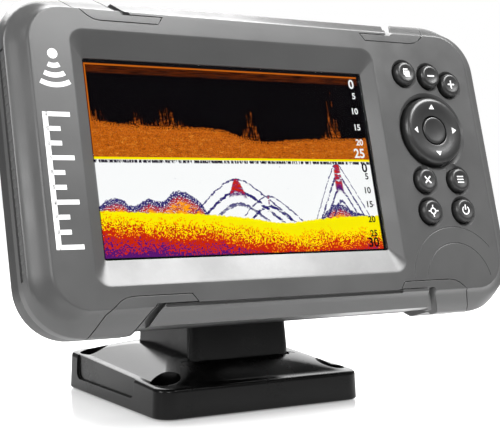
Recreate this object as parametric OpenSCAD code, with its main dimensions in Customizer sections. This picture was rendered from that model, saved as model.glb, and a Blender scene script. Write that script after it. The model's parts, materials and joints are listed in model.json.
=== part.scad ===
// Fish finder: a boat display head with a keypad, on a tilting bracket that screws to a dash.
// Millimetres. +Z is up, the screen faces -Y, and the origin is the middle of the bracket's underside.
// The head is drawn in its own frame: x to the right, y into the case from the front face, z up
// the face. head_frame() leans that frame back and puts it in its place on the bracket.

/* [Head] */
// Width of the case across its widest part
head_w = 190.6; // [186:0.2:196]
// Height of the case over the raised corners
head_h = 112.4; // [111:0.2:116]
// Depth of the front bezel, from the face to the joint with the rear housing
bezel_depth = 12; // [12:0.5:14]
// Depth of the whole case, from the face to the flat of the back
case_depth = 36; // [35:0.5:38]
// Wall thickness of the rear housing
wall = 2.5; // [2:0.1:2.8]
// How far the head leans back from upright, degrees
head_tilt = 15.5; // [10:0.5:20]

/* [Screen] */
// Width of the lit picture
screen_w = 108; // [104:0.5:110]
// Height of the lit picture
screen_h = 64.8; // [62:0.2:66]
// Distance from the middle of the case to the middle of the screen, to the left
screen_left = 15; // [14:0.5:16]
// Depth of the sloping frame around the screen
recess_depth = 3; // [2.6:0.1:3.2]

/* [Keypad] */
// Diameter of a small round key
key_d = 8.8; // [8:0.1:9]
// Travel of a key
key_travel = 0.9; // [0.6:0.1:1]
// Diameter of the four-way rocker ring
rocker_d = 26; // [24:0.5:26]
// Diameter of the enter key in its middle
enter_d = 10.4; // [9:0.1:10.6]

/* [Bracket] */
// Width and depth of the foot
foot_w = 84; // [82:1:90]
// Height of the foot's side at the front
foot_front_h = 10.4; // [10:0.2:12]
// Height of the foot's side at the back
foot_back_h = 14.2; // [12:0.2:15]
// Distance between the screw holes across the foot
hole_span_x = 69; // [66:0.5:70]
// Distance between the screw holes from front to back
hole_span_y = 62; // [60:0.5:66]
// Radius of a screw hole in the foot
hole_r = 2.3; // [2:0.1:2.6]
// Width of the upright post
post_w = 42; // [40:0.5:43]
// Radius of the tilt bolt
bolt_r = 3; // [2.5:0.1:3.5]
// Radius of the release lever's pin
pin_r = 1.2; // [1:0.1:1.3]

/* [Hidden] */
$fn = 48;
eps = 0.01;
fit = 0.3;              // gap around a moving key or between trim and case
run = 0.05;             // radial gap of a running shaft
head_at = [0, -54, 89]; // middle of the front face
pivot = [0, 2, 62];     // tilt axis, along X
pivot_h = [             // the tilt axis in the head's own frame: depth and height
    (pivot[1] - head_at[1]) * cos(head_tilt) - (pivot[2] - head_at[2]) * sin(head_tilt),
    (pivot[1] - head_at[1]) * sin(head_tilt) + (pivot[2] - head_at[2]) * cos(head_tilt)
];

// Face of the case and its bevel: half sizes at three depths.
face_half = [head_w / 2 - 6.8, 49];
side_half = [head_w / 2, 51.8];
rim_half = [head_w / 2, head_h / 2];
side_depth = 3.5;
rim_depth = 8;
rail_half_z = 54.2;     // half height of the lower middle rails
face_wall = 2.6;
rear_half = [head_w / 2 - 1, head_h / 2 - 1];
band_depth = 22;        // where the rear housing starts to taper
back_half = [70, 38];

// Screen window
seal_y = 8.6;           // ledge that the case seal lies on
strip_x = head_w / 2 - 1.2; // floor of the pockets in the short sides
strip_y = [4.6, 9.2];
strip_z = [-38, 36];
strip_t = 1;
window_half = [screen_w / 2 + 0.9, screen_h / 2 + 0.9];
recess_half = [screen_w / 2 + 5.7, screen_h / 2 + 9.2];
glass_t = 1.2;
glass_y = recess_depth + 0.1;
lcd_y = glass_y + glass_t + 0.3;
lcd_size = [120.7, 75.8];

// Keypad: [name, x, z, flange turn]
keys = [
    ["key_pages", 58, 32.9, 0], ["key_zoom_out", 69.5, 32.2, -18], ["key_zoom_in", 78.7, 29.2, -18],
    ["key_exit", 59.5, -8.4, 0], ["key_menu", 75, -8.3, 0],
    ["key_waypoint", 59.5, -20.2, 0], ["key_power", 75, -20.1, 0]
];
rocker_at = [66.6, 10.6];
key_flange_y = 3.1;     // front of the hidden flange that keeps a key in its hole
rocker_flange_y = 3.6;
rocker_flange_t = 0.7;
gimbal_y = 4.9;         // depth of the rocker's two axes
nub_ring = 11;          // radius of the ring of nubs that press the switches
membrane_y = 6;
keypad_board_y = 7.7;

// Screws that hold the case together, and the back's fittings
case_bosses = [[-82.5, 41.5], [82.5, 41.5], [-82.5, -41.5], [82.5, -41.5], [-84, 0], [85.9, -3]];
case_screw_r = 1.5;
socket_at = [44, -24];
socket_r = 8;
socket_floor = case_depth - 8;
card_at = [-46, 14];
vent_at = [46, 22];
buzzer_at = [-62, -28];

// Cradle on the back: its plate, its four hooks and the latch
dock_half = [26, 23];
dock_z = -4;
dock_y = case_depth + 0.2;
plate_t = 4;
lift = 8;               // how far the head is lifted to free it from the hooks
hooks = [[-20, 10], [20, 10], [-20, -16], [20, -16]];
hook_back = 31;         // depth that the hooks' heads reach in the case
latch_at = [40.9, 14];  // axis of the release lever in the head's frame: depth and height
latch_tip = [33.4, 5];  // lowest corner of the lever's hook
latch_half = 6;

// Electronics
board_y = 15;
board_back = board_y + 1.6;
board_holes = [[-73, 20], [64, 38], [-73, -38], [64, -38]];
antenna_at = [-60, 31];

// Bracket
mound_z = 18;
post_front_y = -25;
post_back_y = 21;
ear_r = 12;
ear_in = 9.6;           // inner face of a post ear
knuckle_half = 9.2;
cap_x = post_w / 2 - 1.8; // floor of the pockets for the bolt's caps

// ---------------------------------------------------------------- helpers

module head_frame() {
    translate(head_at) rotate([-head_tilt, 0, 0]) children();
}

// Extrudes a drawing of the face (x, z) from depth y0 to depth y1.
module slab(y0, y1) {
    translate([0, y1, 0]) rotate([90, 0, 0]) linear_extrude(y1 - y0) children();
}

module rod(at, r, y0, y1) {
    translate([at[0], y1, at[1]]) rotate([90, 0, 0]) cylinder(r = r, h = y1 - y0);
}

// A cone along the depth: radius ra at y0 and rb at y1.
module cone(at, ra, rb, y0, y1) {
    translate([at[0], y0, at[1]]) rotate([-90, 0, 0]) cylinder(r1 = ra, r2 = rb, h = y1 - y0);
}

module box(at, half, y0, y1) {
    translate([at[0] - half[0], y0, at[1] - half[1]]) cube([2 * half[0], y1 - y0, 2 * half[1]]);
}

module rounded(half, r) {
    square([2 * half[0] - 2 * r, 2 * half[1]], center = true);
    square([2 * half[0], 2 * half[1] - 2 * r], center = true);
    for (sx = [-1, 1], sy = [-1, 1])
        translate([sx * (half[0] - r), sy * (half[1] - r)]) circle(r);
}

// Extrudes a side view (y, z) to both sides of the middle.
module across(half) {
    translate([-half, 0, 0]) rotate([90, 0, 90]) linear_extrude(2 * half) children();
}

module cross_rod(y, z, r, x0, x1) {
    translate([x0, y, z]) rotate([0, 90, 0]) cylinder(r = r, h = x1 - x0);
}

// ---------------------------------------------------------------- head case

// The outer form of the bezel, set in by d: a flat face, a bevel and a straight rim.
module head_skin(d, to) {
    hull() {
        slab(d, d + eps) rounded([face_half[0] - d / 2, face_half[1] - d / 2], 12, $fn = 32);
        slab(side_depth + 0.6 * d, side_depth + 0.6 * d + eps)
            rounded([side_half[0] - d, side_half[1] - 0.8 * d], 15, $fn = 32);
        slab(rim_depth + d / 2, to) rounded([rim_half[0] - d, rim_half[1] - d], 18 - d, $fn = 32);
    }
}

// Where the middle of the top and bottom edges steps down to a rail, and the slot at each end of it.
module rail_cut(y0, y1, half_z) {
    for (s = [-1, 1]) slab(y0, y1) scale([1, s])
        polygon([[-58, half_z], [58, half_z], [63, half_z + 6], [-63, half_z + 6]]);
}

module notch_outline() {
    polygon([[52.3, 48.2], [54.8, 48.2], [62.6, 58], [58.4, 58]]);
}

// One corner clip as seen from the front, in the upper right quarter. g shrinks it for its gap.
module clip_outline(g) {
    polygon([
        [40.2 + g, 48.2 - g], [42.4 + g, 45.2 + g], [63 - g, 45.2 + g], [67.6 - g, 46.6 + g],
        [72 - g, 50.2 + g], [78 - g, 59], [63.4 + g, 59], [55 + g, 48.2 - g]
    ]);
}

module quarter(sx, sz) {
    mirror([sx < 0 ? 1 : 0, 0, 0]) mirror([0, 0, sz < 0 ? 1 : 0]) children();
}

module four_quarters() {
    for (sx = [-1, 1], sz = [-1, 1]) quarter(sx, sz) children();
}

module window_frame() {
    translate([-screen_left, 0, 0]) children();
}

// Material left around the screen so that its sloping frame has a back.
module recess_block() {
    window_frame() slab(0, recess_depth + 1.4) rounded([recess_half[0] + 2, recess_half[1] + 1.8], 6);
}

module recess_cut() {
    window_frame() hull() {
        slab(-eps, 0) rounded(recess_half, 5, $fn = 32);
        slab(recess_depth, recess_depth + eps) rounded(window_half, 1.2, $fn = 32);
    }
    window_frame() slab(0, 10) rounded(window_half, 1.2);
}

module key_holes() {
    for (k = keys) {
        rod([k[1], k[2]], key_d / 2 + fit, -1, 6);
        cone([k[1], k[2]], key_d / 2 + 1.1, key_d / 2 + fit, -eps, 0.9);
    }
    rod(rocker_at, rocker_d / 2 + 0.75, -1, 6);
    cone(rocker_at, rocker_d / 2 + 2.2, rocker_d / 2 + 0.75, -eps, 1.1);
    // shallow channels that run from the rocker's well to the two keys below it
    for (k = [keys[3], keys[4]]) let (dx = k[1] - rocker_at[0], dz = k[2] - rocker_at[1])
        translate([rocker_at[0], 0, rocker_at[1]]) rotate([0, -atan2(dz, dx), 0])
            translate([0, -eps, -2.4]) cube([norm([dx, dz]), 1, 4.8]);
    // the gap that joins the two zoom keys' wells
    let (a = keys[1], b = keys[2])
        translate([a[1], 0, a[2]]) rotate([0, -atan2(b[2] - a[2], b[1] - a[1]), 0])
            translate([0, -1, -1.6]) cube([norm([b[1] - a[1], b[2] - a[2]]), 6, 3.2]);
}

module front_bezel() {
    color([0.40, 0.40, 0.41]) head_frame() difference() {
        union() {
            difference() {
                head_skin(0, bezel_depth);
                difference() {
                    union() {
                        slab(face_wall, 5) rounded([85.5, 46], 11);
                        slab(5, seal_y) rounded([head_w / 2 - 5.5, 48], 13);
                        slab(seal_y, bezel_depth + 1) rounded([head_w / 2 - 3, 50.5], 15);
                    }
                    recess_block();
                }
            }
            for (b = case_bosses) rod(b, 3.2, face_wall - 0.2, 11.9);
        }
        recess_cut();
        key_holes();
        rail_cut(-1, bezel_depth + 1, rail_half_z);
        for (b = case_bosses) rod(b, case_screw_r - 0.15, 4.4, 12.5);
        // pockets of the corner clips, the notches beside them and the groove over the bottom rail
        difference() {
            four_quarters() slab(-1, bezel_depth + 1) {
                clip_outline(0);
                notch_outline();
            }
            head_skin(1.7, bezel_depth + 2);
        }
        box([-5.5, -48.8], [46.5, 0.55], -1, 1.1);
        // pockets of the side strips
        for (side = [-1, 1]) strip_block(side, head_w / 2 + 1, 0);
    }
}

// The long inlay in each short side of the bezel, out to x1. g shrinks its outline for its gap.
module strip_block(side, x1, g) {
    translate([side > 0 ? strip_x : -x1, strip_y[0] + g, strip_z[0] + g])
        cube([x1 - strip_x, strip_y[1] - strip_y[0] - 2 * g, strip_z[1] - strip_z[0] - 2 * g]);
}

module side_strips() {
    color([0.52, 0.52, 0.53]) head_frame()
        for (side = [-1, 1]) strip_block(side, strip_x + strip_t, fit / 2);
}

module clip(sx, sz) {
    color([0.42, 0.42, 0.43]) head_frame() quarter(sx, sz) difference() {
        intersection() {
            head_skin(0, bezel_depth);
            slab(-1, bezel_depth - 0.2) clip_outline(fit);
        }
        head_skin(1.6, bezel_depth + 2);
        slab(-1, bezel_depth + 1) notch_outline();
    }
}

module clip_top_left() { clip(-1, 1); }
module clip_top_right() { clip(1, 1); }
module clip_bottom_left() { clip(-1, -1); }
module clip_bottom_right() { clip(1, -1); }

module rear_form(d) {
    hull() {
        slab(bezel_depth, band_depth) rounded([rear_half[0] - d, rear_half[1] - d], 17 - d / 2, $fn = 32);
        slab(case_depth - d - eps, case_depth - d)
            rounded([back_half[0] - d / 2, back_half[1] - d / 2], 14, $fn = 32);
    }
}

module rear_housing() {
    color([0.20, 0.20, 0.21]) head_frame() difference() {
        union() {
            difference() {
                union() {
                    rear_form(0);
                    // tongue that enters the bezel, and the band that shows at each side
                    slab(bezel_depth - 2, bezel_depth + 1) rounded([head_w / 2 - 3.2, 50.3], 15);
                }
                rear_form(wall);
                slab(bezel_depth - 3, bezel_depth + 0.1) rounded([head_w / 2 - 5.2, 48.3], 13);
                slab(bezel_depth, bezel_depth + 1.2) rounded([head_w / 2 - 5.2, 48.3], 13);
            }
            intersection() {
                union() {
                    for (b = case_bosses) rod(b, 4.4, bezel_depth, case_depth);
                    rod(socket_at, 12, 26, case_depth);
                    box(card_at, [13, 8], 30.5, case_depth);
                    box([0, dock_z - lift / 2], [28, 28], 29.5, case_depth);
                    for (p = board_holes) rod(p, 2.8, board_y + 1.6, case_depth);
                }
                rear_form(0);
            }
            rod(socket_at, 12, case_depth - 1, case_depth + 3);
        }
        rail_cut(bezel_depth - 3, case_depth + 1, rail_half_z - 1);
        for (b = case_bosses) {
            rod(b, case_screw_r + 0.3, 11, 20);
            rod(b, 3.3, 16, case_depth + 1);
        }
        for (p = board_holes) rod(p, 1.25, board_y, 26);
        // keyholes for the cradle's hooks: a wide mouth below each narrow slot
        for (h = hooks) {
            box([h[0], h[1] - lift / 2], [2.4, lift / 2 + 2.8], hook_back + 1, case_depth + 1);
            box([h[0], h[1] - lift], [4, 3], hook_back - 0.4, case_depth + 1);
            box([h[0], h[1] - lift / 2], [4, lift / 2 + 2.9], hook_back - 0.4, hook_back + 2.2);
        }
        // latch pocket, with the ramp that pushes the lever's hook out as the head is lifted
        across(latch_half + 0.6) polygon([
            [case_depth + 1, 9.5], [latch_tip[0] - 0.5, 9.5], [latch_tip[0] - 0.5, latch_tip[1] - 0.4],
            [case_depth, latch_tip[1] - 8.9], [case_depth + 1, latch_tip[1] - 11.7]
        ]);
        rod(socket_at, socket_r + 2.1, 20, case_depth + 4);
        box(card_at, [11.2, 6.2], 33.3, case_depth + 1);
        box([card_at[0], card_at[1] - 1], [6.4, 1.2], 20, case_depth + 1);
        cross_rod(case_depth - 1.2, card_at[1] + 5, 0.6, card_at[0] - 12.6, card_at[0] + 12.6);
        rod(vent_at, 4.1, 20, case_depth + 1);
    }
}

module case_seal() {
    color([0.08, 0.08, 0.08]) head_frame() slab(seal_y, bezel_depth - 2) difference() {
        rounded([head_w / 2 - 3.2, 50.3], 15);
        rounded([head_w / 2 - 5.3, 48.2], 13);
    }
}

module case_screws() {
    color([0.72, 0.72, 0.74]) head_frame() for (b = case_bosses) difference() {
        union() {
            rod(b, case_screw_r - 0.15, 6, 16);
            cone(b, case_screw_r + 0.2, 2.8, 16, 16.8);
            rod(b, 2.8, 16.8, 18);
        }
        translate([b[0], 17.3, b[1]]) for (a = [0, 90]) rotate([0, a, 0]) cube([3.2, 2, 0.8], center = true);
    }
}

// ---------------------------------------------------------------- display

module display_window() {
    color([0.55, 0.60, 0.62, 0.35]) head_frame() window_frame() slab(glass_y, glass_y + glass_t)
        rounded([window_half[0] - 0.15, window_half[1] - 0.15], 1);
}

module window_gasket() {
    color([0.06, 0.06, 0.06]) head_frame() window_frame()
        slab(recess_depth + 1.4, lcd_y) difference() {
            rounded([recess_half[0] + 0.4, window_half[1] + 4], 2);
            rounded([window_half[0] + 0.02, window_half[1] + 0.02], 1);
        }
}

module lcd_panel() {
    color([0.10, 0.12, 0.20]) head_frame() window_frame()
        slab(lcd_y, lcd_y + 1.8) rounded([lcd_size[0] / 2, lcd_size[1] / 2], 0.8);
}

module backlight_unit() {
    color([0.90, 0.92, 0.95]) head_frame() window_frame()
        slab(lcd_y + 1.8, lcd_y + 4.4) rounded([lcd_size[0] / 2 - 1.2, lcd_size[1] / 2 - 1.2], 0.8);
}

module lcd_frame() {
    color([0.62, 0.62, 0.64]) head_frame() window_frame() difference() {
        slab(lcd_y, lcd_y + 5.2) rounded([lcd_size[0] / 2 + 0.9, lcd_size[1] / 2 + 0.9], 1.2);
        slab(lcd_y - 1, lcd_y + 4.5) rounded([lcd_size[0] / 2 + 0.1, lcd_size[1] / 2 + 0.1], 0.9);
        slab(0, 20) for (x = [-36, 0, 36], z = [-18, 18]) translate([x, z]) rounded([14, 13], 2);
    }
}

// ---------------------------------------------------------------- electronics

module main_board() {
    color([0.05, 0.28, 0.16]) head_frame() difference() {
        slab(board_y, board_back) translate([-4, 0]) rounded([72, 42], 3);
        for (p = board_holes) rod(p, 1.6, 10, 20);
    }
}

module board_screws() {
    color([0.75, 0.75, 0.77]) head_frame() for (p = board_holes) difference() {
        union() {
            rod(p, 1.2, board_y - 0.5, 25);
            rod(p, 2.4, board_y - 1.8, board_y);
        }
        translate([p[0], board_y - 1.8, p[1]]) for (a = [0, 90]) rotate([0, a, 0])
            cube([2.6, 1.6, 0.6], center = true);
    }
}

// Chips, coils, capacitors and connectors on the back of the board.
module board_components() {
    color([0.07, 0.07, 0.08]) head_frame() {
        box([8, 8], [7.5, 7.5], board_back, board_y + 3);
        for (x = [22, 34]) box([x, 10], [4.5, 6.5], board_back, board_y + 2.8);
        for (z = [-24, -14, -4]) box([-47, z], [3.5, 3.5], board_back, board_y + 4.6);
        for (z = [24, 34]) rod([-40, z], 3, board_back, board_y + 7);
        for (x = [-30 : 6 : 12]) box([x, -36], [1.6, 0.8], board_back, board_y + 2.4);
        box([-19, 28], [9, 2.4], board_back, board_y + 4);
        box([58, 0], [2.4, 9], board_back, board_y + 4);
    }
}

module shield_can() {
    color([0.75, 0.75, 0.77]) head_frame() difference() {
        box([-24, -10], [13, 12], board_back, board_y + 5);
        box([-24, -10], [12.7, 11.7], board_y + 1, board_y + 4.7);
    }
}

module heat_spreader() {
    color([0.80, 0.81, 0.83]) head_frame() {
        box([14, 9], [19, 11], board_y + 3, board_y + 4.6);
        for (x = [-2 : 5 : 30]) box([x, 9], [0.7, 10], board_y + 4.6, board_y + 9.5);
    }
}

module ribbon_cables() {
    color([0.85, 0.60, 0.20]) head_frame() {
        // from the back of the screen over the board's top edge to its connector
        translate([-26, 0, 0]) {
            translate([0, lcd_y + 5.3, 20]) cube([14, 0.2, 24]);
            translate([0, lcd_y + 5.3, 43.8]) cube([14, board_y + 4.2 - lcd_y - 5.3, 0.2]);
            translate([0, board_y + 4.1, 27]) cube([14, 0.2, 17]);
        }
        // from the keypad board round the main board's end to its connector
        translate([0, 0, -6]) {
            translate([60, keypad_board_y + 1.3, 0]) cube([11, 0.2, 12]);
            translate([70.8, keypad_board_y + 1.3, 0]) cube([0.2, board_y + 3 - keypad_board_y, 12]);
            translate([56, board_y + 4.1, 0]) cube([15, 0.2, 12]);
        }
    }
}

module gps_antenna() {
    color([0.82, 0.80, 0.72]) head_frame() {
        box(antenna_at, [9, 9], board_back, board_back + 4);
        rod(antenna_at, 0.8, board_back + 4, board_back + 4.6);
    }
}

module buzzer() {
    color([0.09, 0.09, 0.09]) head_frame() difference() {
        rod(buzzer_at, 6, board_back, board_y + 7);
        rod(buzzer_at, 1, board_y + 5, board_y + 8);
    }
}

// ---------------------------------------------------------------- keypad

module small_key(i) {
    k = keys[i];
    at = [k[1], k[2]];
    color([0.22, 0.22, 0.23]) head_frame() difference() {
        union() {
            cone(at, key_d / 2 - 0.9, key_d / 2, -1.9, -0.9);
            rod(at, key_d / 2, -0.9, key_flange_y + 0.1);
            intersection() {
                rod(at, key_d / 2 + 0.9, key_flange_y, key_flange_y + 0.8);
                translate([at[0], 0, at[1]]) rotate([0, -k[3], 0]) cube([2 * 4.7, 20, 12], center = true);
            }
            rod(at, 1.6, key_flange_y, membrane_y - key_travel - 0.1);
        }
        // the dished top
        translate([at[0], -1.9 - 12.4, at[1]]) sphere(r = 12.8, $fn = 64);
    }
}

module key_pages() { small_key(0); }
module key_zoom_out() { small_key(1); }
module key_zoom_in() { small_key(2); }
module key_exit() { small_key(3); }
module key_menu() { small_key(4); }
module key_waypoint() { small_key(5); }
module key_power() { small_key(6); }

module rocker_ring() {
    color([0.28, 0.28, 0.29]) head_frame() difference() {
        union() {
            cone(rocker_at, rocker_d / 2 - 2.2, rocker_d / 2, -2.4, -0.6);
            rod(rocker_at, rocker_d / 2, -0.6, rocker_flange_y + 0.1);
            rod(rocker_at, rocker_d / 2 + 1.3, rocker_flange_y, rocker_flange_y + rocker_flange_t);
            for (a = [0 : 90 : 270])
                rod([rocker_at[0] + nub_ring * cos(a), rocker_at[1] + nub_ring * sin(a)], 0.9, 0.9, 5.4);
            for (s = [-1, 1]) box([rocker_at[0] + s * 9, rocker_at[1]], [0.5, 1], 0.9, gimbal_y - 0.5);
        }
        rod(rocker_at, enter_d / 2 + 0.45, -4, 5);
        translate([rocker_at[0], -2.4 - 59.2, rocker_at[1]]) sphere(r = 59.9, $fn = 96);
        // hollow under the ring
        difference() {
            rod(rocker_at, rocker_d / 2 - 1.4, 1, 5);
            rod(rocker_at, enter_d / 2 + 1.6, 0, 6);
            for (a = [0 : 90 : 270])
                rod([rocker_at[0] + nub_ring * cos(a), rocker_at[1] + nub_ring * sin(a)], 0.9, 0.9, 6);
            for (s = [-1, 1]) box([rocker_at[0] + s * 9, rocker_at[1]], [0.5, 1], 0.9, gimbal_y - 0.5);
        }
    }
}

// The gimbal ring under the rocker: it turns left and right, and the ring turns up and down on it.
module rocker_pivot() {
    color([0.12, 0.12, 0.12]) head_frame() {
        difference() {
            rod(rocker_at, 8.2, gimbal_y - 0.3, gimbal_y + 0.3);
            rod(rocker_at, enter_d / 2 + 0.6, 4, 6);
        }
        cross_rod(gimbal_y, rocker_at[1], 0.4, rocker_at[0] + 8, rocker_at[0] + 9.7);
        cross_rod(gimbal_y, rocker_at[1], 0.4, rocker_at[0] - 9.7, rocker_at[0] - 8);
        for (s = [-1, 1]) translate([rocker_at[0], gimbal_y, rocker_at[1] + s * 8.85])
            cylinder(r = 0.4, h = 1.7, center = true);
    }
}

module key_enter() {
    color([0.26, 0.26, 0.27]) head_frame() difference() {
        union() {
            cone(rocker_at, enter_d / 2 - 0.3, enter_d / 2, -2, -1.7);
            rod(rocker_at, enter_d / 2, -1.7, 4.2);
            rod(rocker_at, 1.6, 4, membrane_y - key_travel - 0.1);
        }
        rod(rocker_at, 3.6, -0.4, 3);
        translate([rocker_at[0], -2 - 24.6, rocker_at[1]]) sphere(r = 25, $fn = 96);
    }
}

module keypad_outline() {
    translate([67.5, 5.5]) rounded([14, 33], 4);
}

module key_membrane() {
    color([0.15, 0.15, 0.16]) head_frame() {
        slab(membrane_y, membrane_y + 0.8) keypad_outline();
        for (s = [-1, 1])
            box([rocker_at[0], rocker_at[1] + s * 9.1], [1, 0.5], gimbal_y + 0.5, membrane_y + 0.1);
    }
}

module dome_switches() {
    color([0.78, 0.78, 0.80]) head_frame() {
        for (k = keys) cone([k[1], k[2]], 1.4, 2.6, membrane_y + 0.9, keypad_board_y);
        for (a = [0 : 90 : 270])
            cone([rocker_at[0] + nub_ring * cos(a), rocker_at[1] + nub_ring * sin(a)], 1.4, 2.6,
                membrane_y + 0.9, keypad_board_y);
        cone(rocker_at, 1.4, 2.6, membrane_y + 0.9, keypad_board_y);
    }
}

module keypad_board() {
    color([0.05, 0.30, 0.18]) head_frame()
        slab(keypad_board_y, keypad_board_y + 1.2) keypad_outline();
}

// ---------------------------------------------------------------- fittings on the back

module plug_socket() {
    color([0.10, 0.10, 0.10]) head_frame() difference() {
        union() {
            rod(socket_at, socket_r + 2, 24, case_depth + 6);
            rod(socket_at, socket_r + 3.4, 22.4, 25.2);
        }
        rod(socket_at, socket_r, socket_floor, case_depth + 7);
        for (p = pin_places()) rod(p, 0.65, 20, 30);
        // keyway in the wall of the mouth
        box([socket_at[0], socket_at[1] + socket_r], [1, 0.9], socket_floor, case_depth + 7);
    }
}

function pin_places() = [
    for (a = [0 : 60 : 300]) [socket_at[0] + 4.2 * cos(a), socket_at[1] + 4.2 * sin(a)], socket_at
];

module socket_pins() {
    color([0.85, 0.70, 0.35]) head_frame() for (p = pin_places()) rod(p, 0.6, board_back, socket_floor);
}

module socket_seal() {
    color([0.45, 0.12, 0.08]) head_frame() difference() {
        rod(socket_at, socket_r + 3.3, 25.2, 26);
        rod(socket_at, socket_r + 2.1, 25, 27);
    }
}

module card_reader() {
    color([0.74, 0.74, 0.76]) head_frame() difference() {
        box([card_at[0], card_at[1] - 1], [7.4, 1.6], board_back, 30.4);
        box([card_at[0], card_at[1] - 1], [5.8, 0.6], 19, 31);
    }
}

// Rubber door over the card slot, hinged along its upper edge, with a pull tab below.
module card_door() {
    color([0.09, 0.09, 0.09]) head_frame() difference() {
        union() {
            difference() {
                box(card_at, [10.9, 5.9], case_depth - 1.6, case_depth - 0.2);
                box([card_at[0], card_at[1] + 5], [12, 1.4], case_depth - 4, case_depth + 1);
            }
            cross_rod(case_depth - 1.2, card_at[1] + 5, 1.1, card_at[0] - 10.9, card_at[0] + 10.9);
            box([card_at[0], card_at[1] + 4], [10.9, 0.9], case_depth - 1.4, case_depth - 0.4);
            box([card_at[0], card_at[1] - 1], [5.9, 0.7], case_depth - 3.4, case_depth - 1);
            box([card_at[0], card_at[1] - 5], [4, 0.8], case_depth - 0.4, case_depth + 0.8);
        }
        cross_rod(case_depth - 1.2, card_at[1] + 5, 0.6 + run, card_at[0] - 14, card_at[0] + 14);
    }
}

module card_door_pin() {
    color([0.75, 0.75, 0.77]) head_frame()
        cross_rod(case_depth - 1.2, card_at[1] + 5, 0.6, card_at[0] - 12.5, card_at[0] + 12.5);
}

module vent_plug() {
    color([0.12, 0.12, 0.12]) head_frame() difference() {
        union() {
            rod(vent_at, 4, 33, case_depth + 0.4);
            rod(vent_at, 5, 31.5, 33);
        }
        for (a = [0 : 90 : 270])
            rod([vent_at[0] + 2 * cos(a), vent_at[1] + 2 * sin(a)], 0.6, case_depth - 1, case_depth + 2);
    }
}

// ---------------------------------------------------------------- cradle and latch

// The plate that the head hangs on, with the knuckle that turns on the tilt bolt.
module cradle() {
    back = dock_y + plate_t;
    color([0.09, 0.09, 0.09]) head_frame() difference() {
        union() {
            box([0, dock_z], dock_half, dock_y, back);
            for (h = hooks) {
                box(h, [2, 2.5], hook_back, dock_y + 1);
                box(h, [3.7, 2.5], hook_back, hook_back + 1.8);
            }
            across(knuckle_half) {
                polygon([[back - 1, -26], [back - 1, 3],
                    [pivot_h[0], pivot_h[1] + 10], [pivot_h[0], pivot_h[1] - 10]]);
                translate([pivot_h[0], pivot_h[1]]) circle(10);
            }
            // lugs of the lever's pin
            for (s = [-1, 1]) translate([s * 10.2, 0, 0]) across(1.2)
                polygon([[back - 1, 9], [back - 1, 18.5],
                    [latch_at[0] + 2.6, 16.4], [latch_at[0] + 2.6, 11.4]]);
        }
        cross_rod(pivot_h[0], pivot_h[1], bolt_r + run, -20, 20);
        cross_rod(latch_at[0], latch_at[1], pin_r + 0.02, -14, 14);
        // the lever's window, its room between the lugs, and the slot that lightens the knuckle
        box([0, 6], [latch_half + 0.6, 4.6], dock_y - 1, back + 1);
        box([0, latch_at[1]], [9, 5], latch_at[0] - 2.8, back + 1);
        box([0, pivot_h[1]], [5, 20], back + 2, pivot_h[0] - 12);
    }
}

module release_lever() {
    color([0.16, 0.16, 0.16]) head_frame() difference() {
        union() {
            cross_rod(latch_at[0], latch_at[1], 2.3, -8.7, 4);
            // web and thumb pad above the pin
            translate([-2.35, 0, 0]) across(6.35) polygon([
                [latch_at[0] - 0.2, latch_at[1] + 1], [latch_at[0] + 1.8, latch_at[1]],
                [latch_at[0] + 4.6, 19], [latch_at[0] + 2.4, 19]
            ]);
            across(8.7) polygon([
                [latch_at[0] + 2, 18], [latch_at[0] + 4.2, 18], [latch_at[0] + 5.4, 30],
                [latch_at[0] + 4.4, 32], [latch_at[0] + 3, 31]
            ]);
            // hook below the pin, through the cradle into the case
            across(latch_half) polygon([
                [latch_at[0] + 1, latch_at[1] - 1], [latch_at[0] - 1.6, latch_at[1] - 1],
                [latch_at[0] - 2.2, latch_at[1] - 5], [latch_tip[0], latch_tip[1] + 1.6], latch_tip,
                [latch_at[0] - 2.9, latch_tip[1] + 0.8], [latch_at[0] + 0.8, latch_at[1] - 5.4]
            ]);
            for (z = [21 : 2.4 : 28]) box([0, z], [7, 0.4], latch_at[0] + 3.4, latch_at[0] + 5.6);
        }
        cross_rod(latch_at[0], latch_at[1], pin_r + run, -20, 20);
        // room for the spring on the pin
        cross_rod(latch_at[0], latch_at[1], 2.6, 4, 12);
    }
}

module lever_pin() {
    color([0.75, 0.75, 0.77]) head_frame() cross_rod(latch_at[0], latch_at[1], pin_r, -11.3, 11.3);
}

// A coil as one tube: points of a ring at each step along the helix.
function coil_point(i, steps, turns, r, pitch) =
    [r * cos(360 * turns * i / steps), pitch * turns * i / steps, r * sin(360 * turns * i / steps)];

module coil(r, wire, turns, pitch, sides = 6, per_turn = 18) {
    steps = turns * per_turn;
    points = [for (i = [0 : steps])
        let (c = coil_point(i, steps, turns, r, pitch), a = 360 * turns * i / steps)
        for (k = [0 : sides - 1]) let (b = 360 * k / sides)
            c + wire * [cos(b) * cos(a), sin(b), cos(b) * sin(a)]];
    faces = concat(
        [for (i = [0 : steps - 1], k = [0 : sides - 1]) let (n = (k + 1) % sides)
            [i * sides + k, i * sides + n, (i + 1) * sides + n, (i + 1) * sides + k]],
        [[for (k = [sides - 1 : -1 : 0]) k], [for (k = [0 : sides - 1]) steps * sides + k]]
    );
    polyhedron(points, faces);
}

module lever_spring() {
    color([0.75, 0.75, 0.77]) head_frame() translate([4.5, latch_at[0], latch_at[1]]) rotate([0, 0, -90])
        coil(1.75, 0.28, 5, 0.75);
}

// ---------------------------------------------------------------- bracket

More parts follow.
